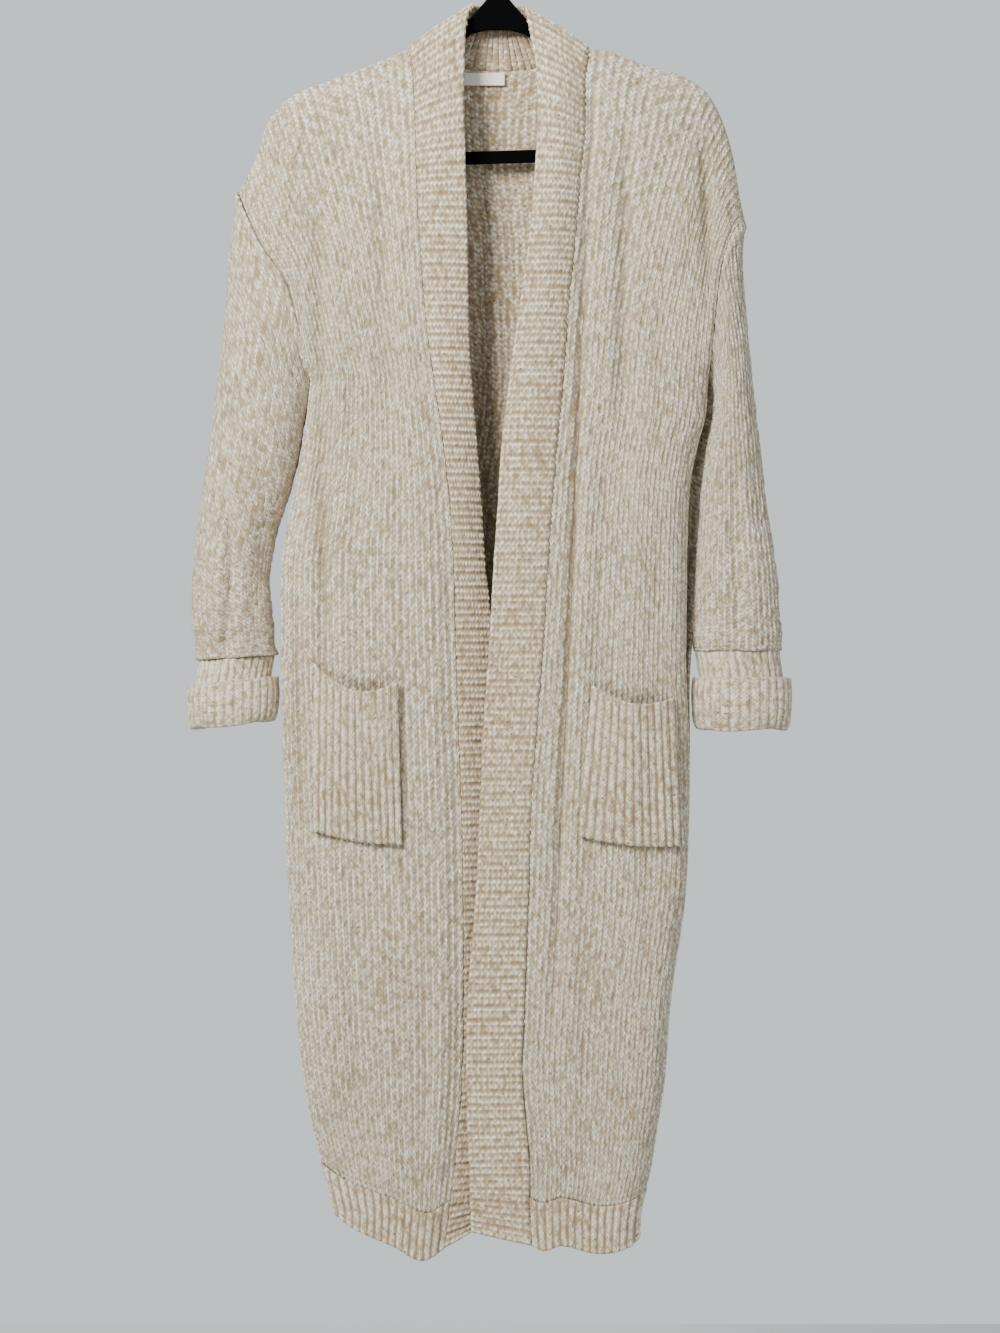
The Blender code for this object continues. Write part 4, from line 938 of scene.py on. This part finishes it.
for number, side in enumerate(SIDES):
    cuff = CUFF[side]
    end = faces["sleeve_" + side][-1]
    end_x, end_drop = end[:, 0], end[:, 2]
    opposite = len(end_x) // 2
    around = CUFF_RIBS * 8
    turn = np.arange(around) / around * 2 * np.pi
    cut = CUFF_CUT
    steps = np.linspace(0, len(cut["out"]), 61)[:-1]
    loop = {k: np.interp(steps, np.arange(len(v) + 1), np.append(v, v[0])) for k, v in cut.items()}
    start = np.minimum(loop["way"], 1)[:, None]
    end_middle = (end_x.max() + end_x.min()) / 2
    end_half = (end_x.max() - end_x.min()) / 2
    end_depth = np.abs(end[:, 1]).max()
    end_slope = (end_drop[0] - end_drop[opposite]) / (end_x[0] - end_x[opposite])
    below_arm = end_drop.mean() + 0.3
    drop = np.where(loop["way"] <= 1, below_arm + (cuff["top"] - below_arm) * loop["way"],
                    cuff["top"] + (cuff["foot"] - cuff["top"]) * (loop["way"] - 1))[:, None]
    ribs = 1.3 * (np.abs(np.sin(turn * CUFF_RIBS / 2)) ** 0.8 - 1.0)[None, :] * loop["ribbed"][:, None]
    lumps = slubs((60, around), (3, 6), 50 + number) * 0.45
    lumps[:, -6:] *= np.linspace(1, 0, 6)
    sag = 1.4 * np.sin(3 * turn + number)[None, :] * np.clip(loop["way"] - 1, 0, 1)[:, None]
    out = loop["out"][:, None]
    half_width = blend((end_half + CUFF_OVER_SLEEVE, cuff["half_width"]), start) + out
    half_depth = blend((end_depth + CUFF_OVER_SLEEVE, CUFF_HALF_DEPTH), start) + out
    x_off = (half_width + ribs + lumps) * np.cos(turn)[None, :]
    middle = blend((end_middle, cuff["x"]), start)
    slope = blend((end_slope, cuff["slope"]), start)
    points = np.stack([middle + x_off, -(half_depth + ribs + lumps) * np.sin(turn)[None, :],
                       drop + slope * x_off + sag], axis=-1)
    ring = np.concatenate([points, points[:1]])
    # Painted shade: the cuff's colour is darker in the grooves between its ribs.
    tone = np.clip(1 + ribs / 1.6, 0, 1)
    piece = knit_piece("rib_cuff_" + side, ring, np.zeros(ring.shape[:2]), (0, -1, 0), 0,
                       (CUFF_RIBS * RIB * MM, 0.26), [rib_knit], closed=True,
                       tone=np.concatenate([tone, tone[:1]]))
    mesh = bmesh.new()
    mesh.from_mesh(piece.data)
    bmesh.ops.remove_doubles(mesh, verts=mesh.verts, dist=1e-6)
    bmesh.ops.recalc_face_normals(mesh, faces=mesh.faces)
    mesh.to_mesh(piece.data)
    mesh.free()
    wear(piece, "cuff_" + side, "rib", (0.27, 0.16), cloth_area(points) / 2, "knit_sleeve_" + side)

# %% [markdown]
# ## The band
# One long rib runs up the wearer's right front, round the back of the neck and down the left front.
# Its ribs lie across it: a narrow raised row, then a wide one. The grid follows the sewn edge of the
# panels on one side and the free edge on the other, and swells a little between them.

# %% The band's free edge
BAND_EDGE = {
    "right": table(
        "seam_drop x drop depth roll",
        (121, -25, 75, 1, 2), (124, -28, 81, 5, 2), (131, -31, 90, 9, 3), (145, -33, 108, 14, 3),
        (165, -34, 138, 20, 4), (200, -34, 186, 25, 4), (240, -33, 235, 27, 4), (311, -31, 311, 26, 4),
        (428, -29, 428, 24, 4), (524, -22, 524, 18, 3), (586, -17, 586, 15, 3), (650, -13, 650, 13, 2),
        (733, -4, 733, 12, 1), (845, 2, 845, 12, 1), (1112, 6, 1112, 12, 1), (1243, 0, 1243, 13, 1),
        (1305, -9, 1300, 14, 1), (1345, -16, 1325, 14, 1)),
    "left": table(
        "seam_drop x drop depth roll",
        (121, 26, 77, 1, 2), (124, 28, 83, 5, 3), (131, 30, 93, 9, 4), (145, 33, 112, 15, 5),
        (165, 38, 140, 22, 6), (200, 40, 186, 28, 7), (240, 38, 236, 32, 7), (321, 31, 321, 34, 6),
        (428, 16, 428, 35, 5), (524, 4, 524, 36, 4), (586, 0, 586, 36, 3), (660, -5, 660, 36, 2),
        (734, -9, 734, 36, 1), (818, -15, 818, 36, 1), (977, -22, 977, 36, 1), (1094, -31, 1094, 36, 1),
        (1182, -32, 1182, 36, 1), (1270, -29, 1270, 36, 1), (1340, -27, 1326, 36, 1)),
    "neck": table(
        "share x drop depth roll",
        (0.0, -25, 75, -1, 2), (0.1, -24, 74, -6, 2), (0.3, -13, 73, -13, 2), (0.5, 0, 73, -15, 2),
        (0.7, 13, 74, -13, 2), (0.9, 25, 76, -6, 2), (1.0, 26, 77, -1, 2)),
}
BAND_PITCH = 14.3
STEPS_PER_RIB = 8
BAND_ACROSS = 17


def band_stations():
    """The sewn edge and the free edge, point for point along the whole band."""
    seam, free = [], []
    for stretch in ("right", "neck", "left"):
        if stretch == "neck":
            top = faces["back"][0]
            shares = np.linspace(0, 1, len(top))
            inside = (shares >= NECK_SHARES[0]) & (shares <= NECK_SHARES[1])
            line, key = top[inside], "share"
            at = np.linspace(0, 1, len(line))
        else:
            line = np.concatenate([faces["front_" + stretch][:, 0], faces["hem_" + stretch][1:, 0]])
            key, at = "seam_drop", line[:, 2]
            if stretch == "right":
                line, at = line[::-1], at[::-1]
        edge = BAND_EDGE[stretch]
        wants = ("x", "depth", "drop", "roll")
        free.append(np.stack([reader(edge, key, want)(at) for want in wants], axis=1))
        seam.append(line)
    return np.concatenate(seam), np.concatenate(free)


seam, free = band_stations()
run = np.concatenate([[0], np.cumsum(np.linalg.norm(np.diff(seam, axis=0), axis=1))])
band_ribs = int(round(run[-1] / BAND_PITCH))
stations = np.linspace(0, run[-1], band_ribs * STEPS_PER_RIB + 1)
seam = np.stack([np.interp(stations, run, seam[:, k]) for k in range(3)], axis=1)
free = np.stack([np.interp(stations, run, free[:, k]) for k in range(4)], axis=1)
kernel = np.ones(9) / 9
for k in range(4):
    free[4:-4, k] = np.convolve(free[:, k], kernel, "valid")
across = np.linspace(0, 1, BAND_ACROSS)[None, :, None]
points = seam[:, None, :] + (free[:, None, :3] - seam[:, None, :]) * across
swell = np.sin(np.pi * across[..., 0]) * free[:, 3:4]
rib_phase = (np.arange(len(stations)) / STEPS_PER_RIB % 1.0)[:, None]
narrow = bell(rib_phase, 0.25, 0.13) * 2.4
wide = bell(rib_phase, 0.72, 0.2) * 1.9
chain = 0.6 * bell(across[..., 0], 0.97, 0.05)
loops = slubs(points.shape[:2], (2, 1), 60) * 0.55
tone = painted_groove_shade(narrow + wide + loops, 0, 9, 3.4)
# Painted shade: the right band is darker below 420 mm, where it lies recessed under the front's fold.
painted_shade_under_fold = np.clip((seam[:, 2] - 420) / 200, 0, 1) * (seam[:, 0] < 0)
tone *= 1 - 0.2 * painted_shade_under_fold[:, None]
band = knit_piece("rib_band", points, swell + narrow + wide + chain + loops, (0, 1, 0), RIB_WALL,
                  (0.056, run[-1] * MM), [band_knit], tone=tone)
print("band ribs", band_ribs)
wear(band, "band", "rib", (0.062, 2.68), cloth_area(points), "hanger_body", "knit_back")

# %% [markdown]
# ## The patch pockets
# Each pocket is a square of upright rib, sewn down on three sides. Its mouth hangs open in a shallow
# curve, so the grid lies on the front's own surface and lifts away from it towards the mouth.

# %% Pockets
POCKET_RIBS = 12
POCKET_CLEARANCE = 0.5
for number, side in enumerate(SIDES):
    pocket = POCKET[side]
    rows, columns = 70, POCKET_RIBS * 8 + 1
    down = np.linspace(0, 1, rows)[:, None]
    u = np.linspace(0, 1, columns)[None, :]
    bow = np.sin(np.pi * u)
    top = blend(pocket["top_drops"], u) + pocket["sag"] * bow
    foot = blend(pocket["foot_drops"], u) + 4 * bow
    drop = top + (foot - top) * down
    top_x, foot_x = blend(pocket["top"], u), blend(pocket["foot"], u)
    x = top_x + (foot_x - top_x) * down
    seam_x = reader(BAND_SEAM[side], "drop", "x")
    edge_x = reader(SIDE_EDGE[side], "drop", "x")
    share = (x - seam_x(drop)) / (edge_x(drop) - seam_x(drop))
    base = front_low(side, share, drop, seam_x, edge_x, BAND_SEAM[side]["drop"][0])
    lift = POCKET_CLEARANCE + pocket["open"] * bow**0.6 * (1 - down**2.2)
    points = base.copy()
    points[..., 1] += lift + RIB_WALL
    phase = u * POCKET_RIBS + 0.35 * np.sin(2 * np.pi * u + number) * down
    ribs = 2.2 * np.abs(np.sin(np.pi * phase)) ** 0.7 * np.ones_like(down)
    if side == "right":
        ribs *= 1 - 0.6 * np.exp(-(((u - 0.72) / 0.2) ** 2) - ((down - 0.2) / 0.3) ** 2)
    welt = 1.2 * bell(down, 0, 0.035) * np.ones_like(u)
    relief = ribs * (1 - 0.4 * bell(down, 0, 0.04)) + welt
    relief = relief + slubs(x.shape, (2, 4), 70 + number) * 0.35
    piece = knit_piece("rib_pocket_" + side, points, relief, (0, -1, 0), RIB_WALL,
                       (POCKET_RIBS * RIB * MM, 0.16), [rib_knit], tone=painted_groove_shade(relief, 1, 9, 2.6))
    wear(piece, "pocket_" + side, "rib", (0.11, 0.17), cloth_area(points), "knit_front_" + side)

# %% [markdown]
# ## Label and hanger
# The neck label is a bare strip of woven satin. The hanger keeps its solid: only its flock and the
# wire's brushed steel are added, as materials that read the object's own coordinates.

# %% Label
label_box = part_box("neck_label")
rows, columns = 14, 46
u, v = np.meshgrid(np.linspace(0, 1, columns), np.linspace(0, 1, rows))
low, high = (np.array(corner) / MM for corner in label_box)
label_x = low[0] + (high[0] - low[0]) * u
label_drop = -high[2] + (high[2] - low[2]) * v
label_depth = -(low[1] - 2.2 + 0.5 * np.sin(np.pi * u))
points = np.stack([label_x, label_depth, label_drop], axis=-1)
woven, tree, shader = new_material("woven label")
uv = tree.nodes.new("ShaderNodeUVMap")
uv.uv_map = "knit"
weave = tree.nodes.new("ShaderNodeTexWave")
weave.inputs["Scale"].default_value = 900
weave.bands_direction = "DIAGONAL"
tree.links.new(uv.outputs[0], weave.inputs["Vector"])
weave_tone = colour_mix(tree, (0.70, 0.68, 0.62, 1), (0.82, 0.80, 0.75, 1), weave.outputs["Fac"])
tree.links.new(weave_tone, shader.inputs["Base Color"])
shader.inputs["Roughness"].default_value = 0.5
LABEL_SIZE = (0.044, 0.013)
piece = knit_piece("woven_label", points, np.zeros(u.shape), (0, -1, 0), LABEL_WALL, LABEL_SIZE,
                   [woven])
wear(piece, "neck_label", "label", LABEL_SIZE, None, "knit_back")


# %% Flock and wire
def flock_material():
    material, tree, shader = new_material("black flock")
    fuzz = object_noise(tree, 1400)
    black = colour_mix(tree, (0.0006, 0.0006, 0.0008, 1), (0.003, 0.003, 0.0035, 1), fuzz)
    tree.links.new(black, shader.inputs["Base Color"])
    bump = tree.nodes.new("ShaderNodeBump")
    bump.inputs["Distance"].default_value = 0.0003
    tree.links.new(fuzz, bump.inputs["Height"])
    tree.links.new(bump.outputs[0], shader.inputs["Normal"])
    shader.inputs["Roughness"].default_value = 1.0
    shader.inputs["Specular IOR Level"].default_value = 0.02
    shader.inputs["Sheen Weight"].default_value = 0.02
    return material


def wire_material():
    material, tree, shader = new_material("hook wire")
    rough = maths(tree, "ADD", maths(tree, "MULTIPLY", object_noise(tree, 500), 0.2), 0.15)
    tree.links.new(rough, shader.inputs["Roughness"])
    shader.inputs["Base Color"].default_value = (0.6, 0.6, 0.61, 1)
    shader.inputs["Metallic"].default_value = 1.0
    return material


for node, finish in (("hanger_body", flock_material()), ("hanger_hook", wire_material())):
    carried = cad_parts[node]
    carried.data.materials.clear()
    carried.data.materials.append(finish)
